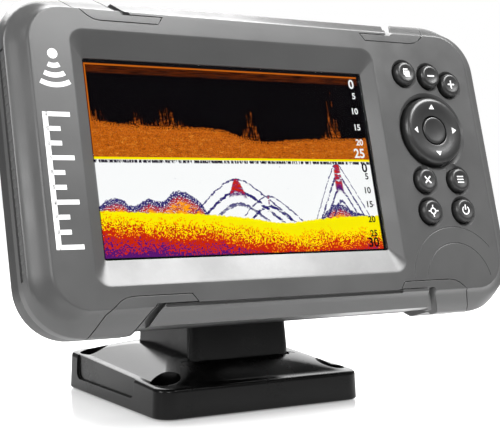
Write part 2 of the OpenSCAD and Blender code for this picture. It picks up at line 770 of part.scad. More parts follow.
module foot_form() {
    hull() {
        linear_extrude(eps) rounded([foot_w / 2, foot_w / 2], 6.5, $fn = 32);
        translate([0, 0, foot_front_h - 1.2]) linear_extrude(eps) intersection() {
            rounded([foot_w / 2 - 0.9, foot_w / 2 - 0.9], 6, $fn = 32);
            translate([0, -foot_w / 4]) square([foot_w, foot_w / 2], center = true);
        }
        translate([0, 0, foot_back_h - 1.2]) linear_extrude(eps) intersection() {
            rounded([foot_w / 2 - 0.9, foot_w / 2 - 0.9], 6, $fn = 32);
            translate([0, foot_w / 2 - 5]) square([foot_w, 10], center = true);
        }
        for (end = [[-foot_w / 2 + 8, foot_front_h], [foot_w / 2 - 8, foot_back_h]])
            translate([0, end[0], end[1] - eps]) linear_extrude(eps) square([66, 12], center = true);
    }
}

module mound() {
    hull() {
        translate([0, 0.5, foot_front_h - 1]) linear_extrude(eps)
            rounded([post_w / 2 + 11, 37.5], 8, $fn = 32);
        translate([0, 6, mound_z]) linear_extrude(eps) rounded([post_w / 2 + 2.4, 21], 5, $fn = 32);
        translate([0, post_front_y + 8, mound_z - 3.4]) linear_extrude(eps)
            rounded([post_w / 2 + 2.4, 10.5], 5, $fn = 32);
    }
}

module base_plate() {
    color([0.035, 0.035, 0.038]) difference() {
        union() {
            foot_form();
            mound();
        }
        // hollow underside with bosses left at the screw holes
        difference() {
            translate([0, 0, -1]) linear_extrude(foot_front_h - 2)
                rounded([foot_w / 2 - 3.2, foot_w / 2 - 3.2], 5);
            for (sx = [-1, 1], sy = [-1, 1])
                translate([sx * hole_span_x / 2, sy * hole_span_y / 2, -2]) cylinder(r = 6.6, h = 20);
            translate([-post_w / 2 - 2, post_front_y - 3, 2])
                cube([post_w + 4, post_back_y - post_front_y + 8, 20]);
            for (a = [0, 90]) rotate([0, 0, a]) translate([-45, -1, 2]) cube([90, 2, 20]);
        }
        for (sx = [-1, 1], sy = [-1, 1]) translate([sx * hole_span_x / 2, sy * hole_span_y / 2, 0]) {
            translate([0, 0, -1]) cylinder(r = hole_r, h = 20);
            translate([0, 0, 7.4]) cylinder(r = 5.4, h = 20);
        }
        // socket for the post, and the holes of the screws that come up into it
        translate([-post_w / 2 + 0.5, post_front_y + 3.8, 6])
            cube([post_w - 1, post_back_y - post_front_y - 3.8, 20]);
        translate([-post_w / 2 - 0.2, post_front_y - 0.5, 8]) cube([post_w + 0.4, 5, 20]);
        for (sx = [-1, 1], y = [-10, 14]) translate([sx * 12, y, -1]) {
            cylinder(r = 1.8, h = 20);
            cylinder(r = 3.8, h = 4.4);
        }
        // shallow panels pressed into the two sides
        for (s = [-1, 1]) translate([s * foot_w / 2, -22, 4]) rotate([0, -s * 5, 0])
            translate([-1, 0, 0]) cube([2, 53, 16]);
    }
}

module base_pad() {
    color([0.06, 0.06, 0.06]) difference() {
        linear_extrude(2) rounded([foot_w / 2 - 4.7, foot_w / 2 - 4.7], 4);
        for (sx = [-1, 1], sy = [-1, 1])
            translate([sx * hole_span_x / 2, sy * hole_span_y / 2, -1]) cylinder(r = 6.8, h = 4);
        for (sx = [-1, 1], y = [-10, 14]) translate([sx * 12, y, -1]) cylinder(r = 4, h = 4);
    }
}

// The post's side view, behind its front cover.
module post_body() {
    front = post_front_y + 3.9;
    color([0.045, 0.045, 0.048]) difference() {
        across(post_w / 2 - 0.6) {
            polygon([
                [front, 6.1], [post_back_y - 0.1, 6.1], [post_back_y - 2, 34],
                [pivot[1] + ear_r, pivot[2]], [pivot[1] - ear_r, pivot[2]],
                [-14, 48], [-15.4, 38], [front, 34]
            ]);
            translate([pivot[1], pivot[2]]) circle(ear_r);
        }
        // room between the ears for the cradle's knuckle
        translate([-ear_in, -40, 41]) cube([2 * ear_in, 80, 60]);
        cross_rod(pivot[1], pivot[2], bolt_r + run, -30, 30);
        // pockets for the bolt head on the left and the nut on the right
        cross_rod(pivot[1], pivot[2], 5.6, -30, -14.4);
        translate([14.4, pivot[1], pivot[2]]) rotate([0, 90, 0]) cylinder(r = 5.9, h = 20, $fn = 6);
        for (x = [cap_x, -cap_x - 12]) cross_rod(pivot[1], pivot[2], 7.2, x, x + 12);
        // screw holes in the foot of the post, and the hollow core
        for (sx = [-1, 1], y = [-10, 14]) translate([sx * 12, y, 4]) cylinder(r = 1.35, h = 10);
        translate([-post_w / 2 + 4, -10, 16]) cube([post_w - 8, 24, 20]);
    }
}

module post_front_cover() {
    color([0.055, 0.055, 0.058]) difference() {
        hull() {
            for (sx = [-1, 1]) {
                translate([sx * (post_w / 2 - 3.4), post_front_y + 3.4, 8.1])
                    cylinder(r = 3.4, h = eps, $fn = 32);
                translate([sx * (post_w / 2 - 4.6), post_front_y + 5.6, 36])
                    cylinder(r = 3.4, h = eps, $fn = 32);
            }
        }
        translate([-30, post_front_y + 3.8, 0]) cube([60, 40, 50]);
    }
}

module post_screws() {
    color([0.75, 0.75, 0.77]) for (sx = [-1, 1], y = [-10, 14]) translate([sx * 12, y, 0]) difference() {
        union() {
            translate([0, 0, 3.3]) cylinder(r = 1.35, h = 10);
            translate([0, 0, 1]) cylinder(r = 3.2, h = 2.4);
        }
        for (a = [0, 90]) rotate([0, 0, a]) translate([-2, -0.45, 0.9]) cube([4, 0.9, 1.3]);
    }
}

module tilt_bolt() {
    color([0.75, 0.75, 0.77]) {
        cross_rod(pivot[1], pivot[2], bolt_r, -14.5, 16.9);
        cross_rod(pivot[1], pivot[2], 5.4, -17, -14.45);
    }
}

module tilt_nut() {
    color([0.75, 0.75, 0.77]) difference() {
        translate([14.5, pivot[1], pivot[2]]) rotate([0, 90, 0]) cylinder(r = 5.7, h = 2.4, $fn = 6);
        cross_rod(pivot[1], pivot[2], bolt_r + eps, 10, 20);
    }
}

module friction_washers() {
    color([0.70, 0.68, 0.62]) for (s = [-1, 1]) difference() {
        cross_rod(pivot[1], pivot[2], 8, s * 9.4 - 0.18, s * 9.4 + 0.18);
        cross_rod(pivot[1], pivot[2], bolt_r + run, -20, 20);
    }
}

module bolt_caps() {
    color([0.05, 0.05, 0.05]) for (s = [-1, 1])
        cross_rod(pivot[1], pivot[2], 7.1, s * (cap_x + 0.7) - 0.6, s * (cap_x + 0.7) + 0.6);
}

// ---------------------------------------------------------------- nodes

base_plate();
base_pad();
post_body();
post_front_cover();
post_screws();
tilt_bolt();
tilt_nut();
friction_washers();
bolt_caps();
cradle();
release_lever();
lever_pin();
lever_spring();
front_bezel();
clip_top_left();
clip_top_right();
clip_bottom_left();
clip_bottom_right();
side_strips();
rear_housing();
case_seal();
case_screws();
display_window();
window_gasket();
lcd_panel();
backlight_unit();
lcd_frame();
main_board();
board_screws();
board_components();
shield_can();
heat_spreader();
ribbon_cables();
keypad_board();
dome_switches();
key_membrane();
key_pages();
key_zoom_out();
key_zoom_in();
key_exit();
key_menu();
key_waypoint();
key_power();
rocker_ring();
rocker_pivot();
key_enter();
gps_antenna();
buzzer();
plug_socket();
socket_pins();
socket_seal();
card_reader();
card_door();
card_door_pin();
vent_plug();
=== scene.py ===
# %% [markdown]
# # A fish finder on its tilting bracket
#
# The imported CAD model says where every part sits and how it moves. This script loads it as a
# fixed frame and then makes the visible pieces again with the shapes, edges and finishes that
# a plain solid lacks: the fluted case, the dished keys, the lit sonar picture and the black
# moulded bracket. Each piece rides on its CAD body, so it moves with the joints.

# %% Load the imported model
import json
import math

import bmesh
import bpy
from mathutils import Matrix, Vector

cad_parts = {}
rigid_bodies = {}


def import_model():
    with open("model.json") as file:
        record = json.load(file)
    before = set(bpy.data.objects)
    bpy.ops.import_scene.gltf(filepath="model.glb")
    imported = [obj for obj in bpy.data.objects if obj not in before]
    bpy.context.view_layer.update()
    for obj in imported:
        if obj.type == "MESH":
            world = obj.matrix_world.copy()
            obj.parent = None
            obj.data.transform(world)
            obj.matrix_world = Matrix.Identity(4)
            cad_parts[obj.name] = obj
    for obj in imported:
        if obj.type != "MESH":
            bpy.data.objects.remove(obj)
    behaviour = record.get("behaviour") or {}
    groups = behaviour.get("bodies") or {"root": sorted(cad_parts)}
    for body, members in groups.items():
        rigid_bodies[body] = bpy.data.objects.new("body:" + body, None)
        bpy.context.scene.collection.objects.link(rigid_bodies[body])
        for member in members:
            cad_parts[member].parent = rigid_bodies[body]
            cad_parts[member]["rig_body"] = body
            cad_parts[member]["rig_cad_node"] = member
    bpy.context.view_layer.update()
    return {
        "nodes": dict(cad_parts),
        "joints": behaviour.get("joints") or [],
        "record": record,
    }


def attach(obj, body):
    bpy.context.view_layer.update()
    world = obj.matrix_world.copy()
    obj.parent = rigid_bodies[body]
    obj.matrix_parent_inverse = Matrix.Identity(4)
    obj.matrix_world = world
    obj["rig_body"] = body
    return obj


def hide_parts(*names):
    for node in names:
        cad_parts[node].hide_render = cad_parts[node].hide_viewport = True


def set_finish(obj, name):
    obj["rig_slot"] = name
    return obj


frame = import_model()
nodes = frame["nodes"]
MM = 0.001

# %% [markdown]
# ## The bench
#
# The head is modelled lying on its back on the bench: x to the right, y up the face and z
# towards the viewer, so that a depth into the case is a negative z. When a piece is ready it is
# stood up, leant back by the tilt of the bracket and carried to its place. The lean comes from
# the direction in which the head lifts off its cradle, so it always agrees with the CAD.
# All helper sizes are in millimetres.

# %% Where the head stands
joints = {j["name"]: j for j in frame["joints"]}
lift_axis = Vector(joints["head_lift"]["axis"])
LEAN = math.atan2(lift_axis.y, lift_axis.z)
HEAD_AT = Vector((0, -54, 89)) * MM
print("the head leans back", round(math.degrees(LEAN), 2), "degrees")


def only(ob):
    """Selects one object and makes it active."""
    bpy.ops.object.select_all(action="DESELECT")
    ob.select_set(True)
    bpy.context.view_layer.objects.active = ob


def pick(ob, kind, test):
    """In edit mode, selects the faces, edges or vertices for which the test is true."""
    bpy.ops.mesh.select_mode(type={"verts": "VERT", "edges": "EDGE", "faces": "FACE"}[kind])
    bpy.ops.mesh.select_all(action="DESELECT")
    mesh = bmesh.from_edit_mesh(ob.data)
    for item in getattr(mesh, kind):
        if test(item):
            item.select_set(True)
    mesh.select_flush_mode()
    bmesh.update_edit_mesh(ob.data)


def edit(ob):
    only(ob)
    bpy.ops.object.mode_set(mode="EDIT")


def object_mode():
    bpy.ops.object.mode_set(mode="OBJECT")


def apply_place(ob):
    only(ob)
    bpy.ops.object.transform_apply(location=True, rotation=True, scale=True)


def into_head(ob):
    """Stands a piece up from the bench, leans it back and carries it to the head."""
    ob.rotation_euler = (math.pi / 2 - LEAN, 0, 0)
    ob.location = HEAD_AT
    apply_place(ob)


def upright(ob):
    """Turns a flat side view so that its x runs back and its y runs up."""
    ob.rotation_euler = (math.pi / 2, 0, math.pi / 2)
    apply_place(ob)


# %% [markdown]
# ## Five ways to start a piece
#
# - `loft` lays rounded rectangles above each other and bridges their edges, for moulded shells.
# - `lathe` draws half of a section from a single point and spins it, for keys and wells.
# - `plate` cuts an outline out of a flat sheet and gives it thickness, for clips and marks.
# - `cuboid` is a plain box round its centre, for the side strips and their ribs.
# - `remake` starts from a CAD node: it merges the node's loose triangles and breaks its sharp
#   edges, which is all that a simple part such as a screw or a lever needs.

# %% Loft, lathe, plate and cuboid
def loft(name, rings, corner=8):
    """Rings are (centre x, centre y, half x, half y, corner radius, z)."""
    bpy.ops.object.select_all(action="DESELECT")
    bpy.ops.mesh.primitive_plane_add(size=2)
    ob = bpy.context.object
    ob.name = name
    bpy.ops.object.mode_set(mode="EDIT")
    bpy.ops.mesh.select_mode(type="VERT")
    bpy.ops.mesh.select_all(action="SELECT")
    bpy.ops.mesh.delete(type="VERT")
    below = None
    for x, y, half_x, half_y, radius, z in rings:
        bpy.ops.mesh.select_mode(type="VERT")
        bpy.ops.mesh.select_all(action="DESELECT")
        bpy.ops.mesh.primitive_plane_add(size=2)
        bpy.ops.transform.resize(value=(half_x * MM, half_y * MM, 1), center_override=(0, 0, 0))
        bpy.ops.transform.translate(value=(x * MM, y * MM, z * MM))
        bpy.ops.mesh.bevel(affect="VERTICES", offset=radius * MM, offset_type="OFFSET", segments=corner)
        bpy.ops.mesh.delete(type="ONLY_FACE")
        if below is not None:
            levels = (below * MM, z * MM)
            pick(ob, "edges", lambda e: len(e.link_faces) < 2 and any(
                all(abs(v.co.z - level) < 1e-7 for v in e.verts) for level in levels))
            bpy.ops.mesh.bridge_edge_loops()
        below = z
    for z in (rings[0][5], rings[-1][5]):
        pick(ob, "edges", lambda e: all(abs(v.co.z - z * MM) < 1e-7 for v in e.verts))
        bpy.ops.mesh.edge_face_add()
    bpy.ops.mesh.select_all(action="SELECT")
    bpy.ops.mesh.normals_make_consistent(inside=False)
    object_mode()
    return ob


def lathe(name, outline, at=(0, 0), steps=48):
    """The outline is (radius, z) points. It is spun round the z axis and then moved to its place."""
    bpy.ops.object.select_all(action="DESELECT")
    bpy.ops.mesh.primitive_plane_add(size=MM)
    ob = bpy.context.object
    ob.name = name
    bpy.ops.object.mode_set(mode="EDIT")
    bpy.ops.mesh.select_mode(type="VERT")
    bpy.ops.mesh.select_all(action="SELECT")
    bpy.ops.mesh.merge(type="CENTER")
    bpy.ops.transform.translate(value=(outline[0][0] * MM, 0, outline[0][1] * MM))
    for (r0, z0), (r1, z1) in zip(outline, outline[1:]):
        step = ((r1 - r0) * MM, 0, (z1 - z0) * MM)
        bpy.ops.mesh.extrude_region_move(TRANSFORM_OT_translate={"value": step})
    bpy.ops.mesh.select_all(action="SELECT")
    bpy.ops.mesh.spin(steps=steps, angle=math.tau, center=(0, 0, 0), axis=(0, 0, 1))
    bpy.ops.mesh.select_all(action="SELECT")
    bpy.ops.mesh.remove_doubles(threshold=2e-6)
    bpy.ops.mesh.normals_make_consistent(inside=False)
    object_mode()
    ob.location = (at[0] * MM, at[1] * MM, 0)
    apply_place(ob)
    return ob


def plate(name, outline, z0, z1):
    """A flat sheet with this outline of (x, y) points, from z0 up to z1."""
    bpy.ops.object.select_all(action="DESELECT")
    bpy.ops.mesh.primitive_circle_add(vertices=len(outline), radius=MM, fill_type="NGON")
    ob = bpy.context.object
    ob.name = name
    for vertex, (x, y) in zip(ob.data.vertices, outline):
        vertex.co = (x * MM, y * MM, z0 * MM)
    bpy.ops.object.mode_set(mode="EDIT")
    bpy.ops.mesh.select_all(action="SELECT")
    bpy.ops.mesh.extrude_region_move(TRANSFORM_OT_translate={"value": (0, 0, (z1 - z0) * MM)})
    bpy.ops.mesh.select_all(action="SELECT")
    bpy.ops.mesh.normals_make_consistent(inside=False)
    object_mode()
    return ob


def cuboid(centre, size):
    """A box of this size with its middle at this place."""
    bpy.ops.object.select_all(action="DESELECT")
    bpy.ops.mesh.primitive_cube_add(size=MM)
    ob = bpy.context.object
    ob.scale = size
    ob.location = [c * MM for c in centre]
    apply_place(ob)
    return ob


# %% Cutting, joining, mirroring and softening
def use_modifier(ob, kind, **settings):
    only(ob)
    modifier = ob.modifiers.new(kind.title(), kind)
    for key, value in settings.items():
        setattr(modifier, key, value)
    bpy.ops.object.modifier_apply(modifier=modifier.name)


def cut(ob, cutter, operation="DIFFERENCE", overlapping=False):
    """Cuts with an object and uses it up, then merges the slivers that a cut leaves."""
    use_modifier(ob, "BOOLEAN", operation=operation, solver="EXACT", object=cutter, use_self=overlapping)
    bpy.data.objects.remove(cutter)
    edit(ob)
    bpy.ops.mesh.select_all(action="SELECT")
    bpy.ops.mesh.remove_doubles(threshold=2e-6)
    bpy.ops.mesh.dissolve_degenerate(threshold=2e-6)
    object_mode()


def copy_of(ob, name):
    twin = ob.copy()
    twin.data = ob.data.copy()
    twin.name = name
    bpy.context.scene.collection.objects.link(twin)
    return twin


def join(obs, name):
    only(obs[0])
    for ob in obs:
        ob.select_set(True)
    bpy.ops.object.join()
    obs[0].name = name
    return obs[0]


def mirrored(ob, name, sx, sy):
    """A copy turned over in x, in y or in both, with its faces turned outwards again."""
    twin = copy_of(ob, name)
    twin.scale = (sx, sy, 1)
    apply_place(twin)
    edit(twin)
    bpy.ops.mesh.select_all(action="SELECT")
    bpy.ops.mesh.normals_make_consistent(inside=False)
    object_mode()
    return twin


def soften(ob, width, segments=2, angle=35):
    """Breaks every sharp edge with a small round, as a mould or a file leaves it."""
    use_modifier(ob, "BEVEL", width=width * MM, segments=segments, limit_method="ANGLE",
                 angle_limit=math.radians(angle), use_clamp_overlap=True, harden_normals=False)


def smooth(ob, angle=32):
    """Shades rounded edges smoothly and lets large flat faces stay flat."""
    only(ob)
    bpy.ops.object.shade_smooth_by_angle(angle=math.radians(angle))
    use_modifier(ob, "WEIGHTED_NORMAL", mode="FACE_AREA", weight=50, keep_sharp=True)


def piece(ob, body, slot, *replaced, angle=32):
    """Shades a finished piece and says what it rides on, its finish and the nodes it stands for."""
    smooth(ob, angle)
    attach(ob, body)
    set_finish(ob, slot)
    if replaced:
        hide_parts(*replaced)
    return ob


def remake(node, width, segments=2, angle=35):
    """A copy of a CAD node with merged faces and broken edges, which stands for the node."""
    ob = copy_of(nodes[node], node + "_fine")
    ob.parent = None
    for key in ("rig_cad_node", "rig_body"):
        if key in ob:
            del ob[key]
    edit(ob)
    bpy.ops.mesh.select_all(action="SELECT")
    bpy.ops.mesh.remove_doubles(threshold=1e-6)
    bpy.ops.mesh.dissolve_limited(angle_limit=math.radians(1))
    object_mode()
    soften(ob, width, segments, angle)
    slot_name = next(p["material_slot"] for p in frame["record"]["subparts"] if p["node"] == node)
    body = next(b for b, names in frame["record"]["behaviour"]["bodies"].items() if node in names)
    return piece(ob, body, slot_name, node)


# %% [markdown]
# ## The case's outer form
#
# The bezel of the real head is one moulding: a flat face, a shallow flute that runs round it and
# a straight rim. Seen from above it is a rounded rectangle at every depth, so a loft gives it
# with clean rows of faces that shade smoothly. The flute is wide and shallow at the short sides
# and steep at the long ones, which is why each ring has its own half width and half height.

# %% Case form
CASE_RINGS = [  # half width, half height, corner radius, depth below the face
    (95.3, 56.2, 18.0, 12.0), (95.3, 56.2, 18.0, 8.9), (95.3, 55.8, 17.7, 8.2), (95.3, 54.2, 16.8, 6.2),
    (95.3, 52.6, 15.8, 4.6), (95.2, 51.8, 15.2, 3.9), (94.7, 51.3, 14.8, 3.35), (93.4, 50.7, 14.2, 2.8),
    (91.8, 50.1, 13.5, 2.15), (90.4, 49.6, 13.0, 1.3), (89.3, 49.3, 12.5, 0.55), (88.7, 49.1, 12.2, 0.15),
    (88.0, 48.8, 12.0, 0.0),
]
CASE_SCREWS = [(sx * 82.5, sy * 41.5) for sx in (-1, 1) for sy in (-1, 1)] + [(-84, 0), (85.9, -3)]


def case_form(name, inset, back, front=0.0):
    rings = [(0, 0, w - inset, h - inset * 0.85, r, -(d + inset * 0.6) - front) for w, h, r, d in CASE_RINGS]
    if back > CASE_RINGS[0][3]:
        w, h, r, d = CASE_RINGS[0]
        rings.insert(0, (0, 0, w - inset, h - inset * 0.85, r, -back))
    return loft(name, rings, corner=12)


bezel = case_form("front_bezel_fine", 0, 12)
print("case form:", len(bezel.data.polygons), "faces")

# %% [markdown]
# ## Openings in the face
#
# The sloping frame round the screen, the wells of the keys, the two channels that run down from
# the rocker and the long groove over the bottom rail are all cut from the form. The cutters carry
# the countersinks of the real moulding, so the holes need no bevel afterwards: a turned profile
# that flares at the top leaves the bright slope that catches the light round every key.

# %% Screen frame and inside of the bezel
SCREEN_X = -15
WINDOW = (54.9, 33.3)
RECESS = (59.7, 41.8)
RECESS_DEPTH = 3

cut(bezel, loft("recess", [
    (SCREEN_X, 0, *WINDOW, 0.8, -14), (SCREEN_X, 0, *WINDOW, 0.8, -RECESS_DEPTH),
    (SCREEN_X, 0, RECESS[0] - 0.5, RECESS[1] - 0.6, 4.6, -0.28), (SCREEN_X, 0, *RECESS, 5, -0.08),
    (SCREEN_X, 0, RECESS[0] + 0.5, RECESS[1] + 0.5, 5.4, 0.0005),
    (SCREEN_X, 0, RECESS[0] + 0.6, RECESS[1] + 0.6, 5.5, 1),
], corner=10))
cut(bezel, loft("keypad_room", [(67.5, 0, 16.5, 43, 4, -13), (67.5, 0, 16.5, 43, 4, -2.6)]))
cut(bezel, loft("case_room", [(0, 0, 89, 48, 11, -13), (0, 0, 89, 48, 11, -4.5)]))
cut(bezel, loft("rim_room", [(0, 0, 92.3, 50.5, 15, -13), (0, 0, 92.3, 50.5, 15, -8.6)]))

# %% Key wells
KEYS = {
    "key_pages": (58, 32.9), "key_zoom_out": (69.5, 32.2), "key_zoom_in": (78.7, 29.2),
    "key_exit": (59.5, -8.4), "key_menu": (75, -8.3), "key_waypoint": (59.5, -20.2),
    "key_power": (75, -20.1),
}
ROCKER = (66.6, 10.6)
KEY_R = 4.4
ROCKER_R = 13
ENTER_R = 5.2


def well(name, at, radius, lip):
    """A straight hole with a countersink whose upper edge is a fine round."""
    return lathe(name, [
        (0, -6), (radius, -6), (radius, -1.25), (radius + 0.1, -1.05), (radius + 0.55 * lip, -0.5),
        (radius + 0.85 * lip, -0.2), (radius + lip, -0.06), (radius + lip + 0.14, 0.08),
        (radius + lip + 0.14, 1), (0, 1)], at, steps=64)


wells = [well(name, at, KEY_R + 0.3, 1.0) for name, at in KEYS.items()]
wells.append(well("rocker", ROCKER, ROCKER_R + 0.75, 1.4))
for cutter in wells:
    cut(bezel, cutter)


def channel(a, b, half, depth):
    """A trough with a rounded bottom between two points of the face."""
    along = Vector((b[0] - a[0], b[1] - a[1]))
    turn = math.atan2(along.y, along.x)
    section = [(half * math.sin(t), 0.07 - (depth + 0.07) * math.cos(t)) for t in
               (math.radians(d) for d in range(-90, 91, 15))]
    ob = plate("channel", [*section, (half, 1), (-half, 1)], 0, along.length)
    upright(ob)
    ob.rotation_euler = (0, 0, turn)
    ob.location = (a[0] * MM, a[1] * MM, 0)
    apply_place(ob)
    return ob


for key in ("key_exit", "key_menu"):
    cut(bezel, channel(ROCKER, KEYS[key], 2.6, 1.1))
cut(bezel, channel(KEYS["key_zoom_out"], KEYS["key_zoom_in"], 2.2, 1.0))
print("face openings cut:", len(bezel.data.polygons), "faces")

# %% [markdown]
# ## Rails, clip pockets, notches and grooves
#
# The middle of the long edges steps down to a rail. At each corner a separate clip is let into
# the bezel, with a slanting notch beside it. A clip has to follow the bezel's own curve, so both
# the pocket and the clip come from the same outline: the pocket is the outline less a slightly
# smaller copy of the case form, and the clip is what the outline and a thin shell of the form
# have in common. One quarter is made and the other three are mirrored.

# %% Rails, notches and pockets
CLIP = [(40.2, 48.2), (42.4, 45.2), (63, 45.2), (65.6, 45.6), (67.6, 46.6), (72, 50.2), (78, 59), (63.4, 59),
        (55, 48.2)]
NOTCH = [(52.3, 48.2), (54.8, 48.2), (62.6, 58), (58.4, 58)]
RAIL = [(-58, 54.2), (58, 54.2), (63, 60.2), (-63, 60.2)]
CLIP_THICK = 1.6
QUARTERS = {"clip_top_left": (-1, 1), "clip_top_right": (1, 1), "clip_bottom_left": (-1, -1),
            "clip_bottom_right": (1, -1)}

pocket = plate("pocket", CLIP, -13, 1)
notch = plate("notch", NOTCH, -13, 1)
cut(pocket, notch, "UNION")
cut(pocket, case_form("inner_form", CLIP_THICK + 0.1, 14))
for name, (sx, sy) in QUARTERS.items():
    cut(bezel, mirrored(pocket, name, sx, sy))
bpy.data.objects.remove(pocket)

rail = plate("rail", RAIL, -16, 2)
for sy in (1, -1):
    cut(bezel, mirrored(rail, "rail_side", 1, sy))
bpy.data.objects.remove(rail)
print("pockets and rails cut:", len(bezel.data.polygons), "faces")

# %% Groove over the bottom rail, pockets of the side strips and two engraved arcs
GROOVE_AT = (-5.5, -48.8)
cut(bezel, loft("groove", [(*GROOVE_AT, 46.5, 0.35, 0.3, -1.1), (*GROOVE_AT, 46.7, 0.6, 0.5, -0.5),
                           (*GROOVE_AT, 46.9, 0.9, 0.7, 1)], corner=3))
STRIP_Y = (-38, 36)
STRIP_DEPTH = (4.6, 9.2)
STRIP_LONG, STRIP_WIDE = STRIP_Y[1] - STRIP_Y[0], STRIP_DEPTH[1] - STRIP_DEPTH[0]
STRIP_MID_Y, STRIP_MID_Z = sum(STRIP_Y) / 2, -sum(STRIP_DEPTH) / 2
CASE_HALF = CASE_RINGS[0][0]
for side in (-1, 1):
    cut(bezel, cuboid((side * CASE_HALF, STRIP_MID_Y, STRIP_MID_Z), (2.4, STRIP_LONG, STRIP_WIDE)))

ARC_CENTRE = (68, -47)
for radius in (21, 15):
    bpy.ops.object.select_all(action="DESELECT")
    bpy.ops.mesh.primitive_torus_add(major_radius=radius * MM, minor_radius=0.27 * MM, major_segments=72,
                                     minor_segments=10,
                                     location=(ARC_CENTRE[0] * MM, ARC_CENTRE[1] * MM, 0.06 * MM))
    ring = bpy.context.object
    apply_place(ring)
    edit(ring)
    bpy.ops.mesh.select_all(action="SELECT")
    bpy.ops.mesh.bisect(plane_co=(0, -44.6 * MM, 0), plane_no=(0, 1, 0), use_fill=True, clear_inner=True)
    bpy.ops.mesh.select_all(action="SELECT")
    bpy.ops.mesh.bisect(plane_co=(84.5 * MM, 0, 0), plane_no=(1, 0, 0), use_fill=True, clear_outer=True)
    object_mode()
    cut(bezel, ring)

for at in CASE_SCREWS:
    cut(bezel, lathe("boss", [(0, -3), (3.2, -3), (3.2, -11.9), (0, -11.9)], at, steps=24), "UNION")
into_head(bezel)
piece(bezel, "head", "case_grey", "front_bezel", angle=28)
print("bezel:", len(bezel.data.polygons), "faces")

# %% [markdown]
# ## Corner clips and side strips
#
# A clip is a thin curved plate that snaps over the corner and hides a screw on the real case.
# Its outline is drawn again with a 0.3 mm gap all round. The side strips are long inlays with
# ribs for the fingers, so each rib is a real ridge and catches the light from the side.

# %% Clips
def shrunk(outline, gap):
    """Moves each side of a closed outline inwards by the gap."""
    result = []
    count = len(outline)
    for i, (x, y) in enumerate(outline):
        before = Vector((x - outline[i - 1][0], y - outline[i - 1][1])).normalized()
        after = Vector((outline[(i + 1) % count][0] - x, outline[(i + 1) % count][1] - y)).normalized()
        normal = (Vector((-before.y, before.x)) + Vector((-after.y, after.x))).normalized()
        reach = gap / max(0.35, normal.dot(Vector((-after.y, after.x))))
        result.append((x + normal.x * reach, y + normal.y * reach))
    return result


turning = sum(CLIP[i - 1][0] * CLIP[i][1] - CLIP[i][0] * CLIP[i - 1][1] for i in range(len(CLIP)))
shell = case_form("clip_shell", 0, 11.8)
cut(shell, case_form("clip_inner", CLIP_THICK, 14))
clip = plate("clip", shrunk(CLIP, 0.3 if turning > 0 else -0.3), -13, 1)
cut(clip, plate("notch", NOTCH, -14, 2))
cut(clip, shell, "INTERSECT")
soften(clip, 0.28, 2, 40)
for name, (sx, sy) in QUARTERS.items():
    corner_clip = mirrored(clip, name + "_fine", sx, sy)
    into_head(corner_clip)
    piece(corner_clip, "head", "clip_grey", name, angle=40)
bpy.data.objects.remove(clip)
print("clips:", len(corner_clip.data.polygons), "faces each")

# %% Side strips
strips = []
STRIP_FACE = 95.1
STRIP_GAP = 0.3
RIBS = 24
RIB_STEP = 2.96
for side in (-1, 1):
    strips.append(cuboid((side * (STRIP_FACE - 0.65), STRIP_MID_Y, STRIP_MID_Z),
                         (0.7, STRIP_LONG - STRIP_GAP, STRIP_WIDE - STRIP_GAP)))
    soften(strips[-1], 0.2, 2)
    for i in range(RIBS):
        strips.append(cuboid((side * (STRIP_FACE - 0.3), STRIP_Y[0] + 3 + i * RIB_STEP, STRIP_MID_Z),
                             (0.5, 0.9, 3.2)))
        soften(strips[-1], 0.2, 2)
side_strips = join(strips, "side_strips_fine")
into_head(side_strips)
piece(side_strips, "head", "strip_grey", "side_strips", angle=40)

# %% [markdown]
# ## Keys
#
# Every round key is one turned form: a dished top that a fingertip finds, a soft edge, a straight
# side that slides in its well and a hidden flange that keeps it there. The white symbols are
# inlays. A symbol is drawn flat, made into a block and then cut down to a thin shell that has
# the same dish as the key, so it lies in the surface and not above it.

# %% The small keys
KEY_DISH = 12.8
KEY_TOP = 1.9


def key_top(radius):
    """Height of the dished top at this distance from the middle of the key."""
    return KEY_TOP - 0.4 + KEY_DISH - math.sqrt(KEY_DISH ** 2 - radius ** 2)


def key_outline():
    dish = [(r, key_top(r)) for r in (0, 0.8, 1.6, 2.4, 3.0)]
    edge = [(3.25, 1.87), (3.55, 1.80), (3.85, 1.62), (4.1, 1.32), (4.27, 0.95), (4.37, 0.5), (4.4, 0)]
    return dish + edge + [(4.4, -3.1), (4.7, -3.1), (4.7, -3.9), (1.6, -3.9), (1.6, -5), (0, -5)]


for name, at in KEYS.items():
    key = lathe(name + "_fine", key_outline(), at, steps=48)
    into_head(key)
    piece(key, name, "key_grey", name, angle=50)
print("keys:", len(key.data.polygons), "faces each")

# %% Rocker ring and enter key
RING_IN = ENTER_R + 0.45


def ring_top(radius):
    """The rocker's top is lowest beside the enter key and rises to a crest near its rim."""
    share = min(1, max(0, (radius - RING_IN) / 4.9))
    return 1.72 + 0.66 * share * share * (3 - 2 * share)


crest = [(r, ring_top(r)) for r in (6, 6.8, 7.6, 8.4, 9.2, 10, 10.8)]
rim = [(11.3, 2.34), (11.8, 2.2), (12.3, 1.9), (12.65, 1.45), (12.9, 0.85), (13, 0.2), (13, -3.6)]
rocker = lathe("rocker_ring_fine", [
    (RING_IN, -3.7), (RING_IN, 1.5), (5.75, 1.66), *crest, *rim, (14.3, -3.6), (14.3, -4.3), (11.6, -4.3),
    (11.6, -1), (6.8, -1), (6.8, -3.7), (RING_IN, -3.7)], ROCKER, steps=72)
nubs = [lathe("nub", [(0, -0.9), (0.9, -0.9), (0.9, -5.2), (0.7, -5.4), (0, -5.4)],
              (ROCKER[0] + 11 * math.cos(a), ROCKER[1] + 11 * math.sin(a)), steps=16)
        for a in (0, math.pi / 2, math.pi, 3 * math.pi / 2)]
rocker = join([rocker, *nubs], "rocker_ring_fine")
into_head(rocker)
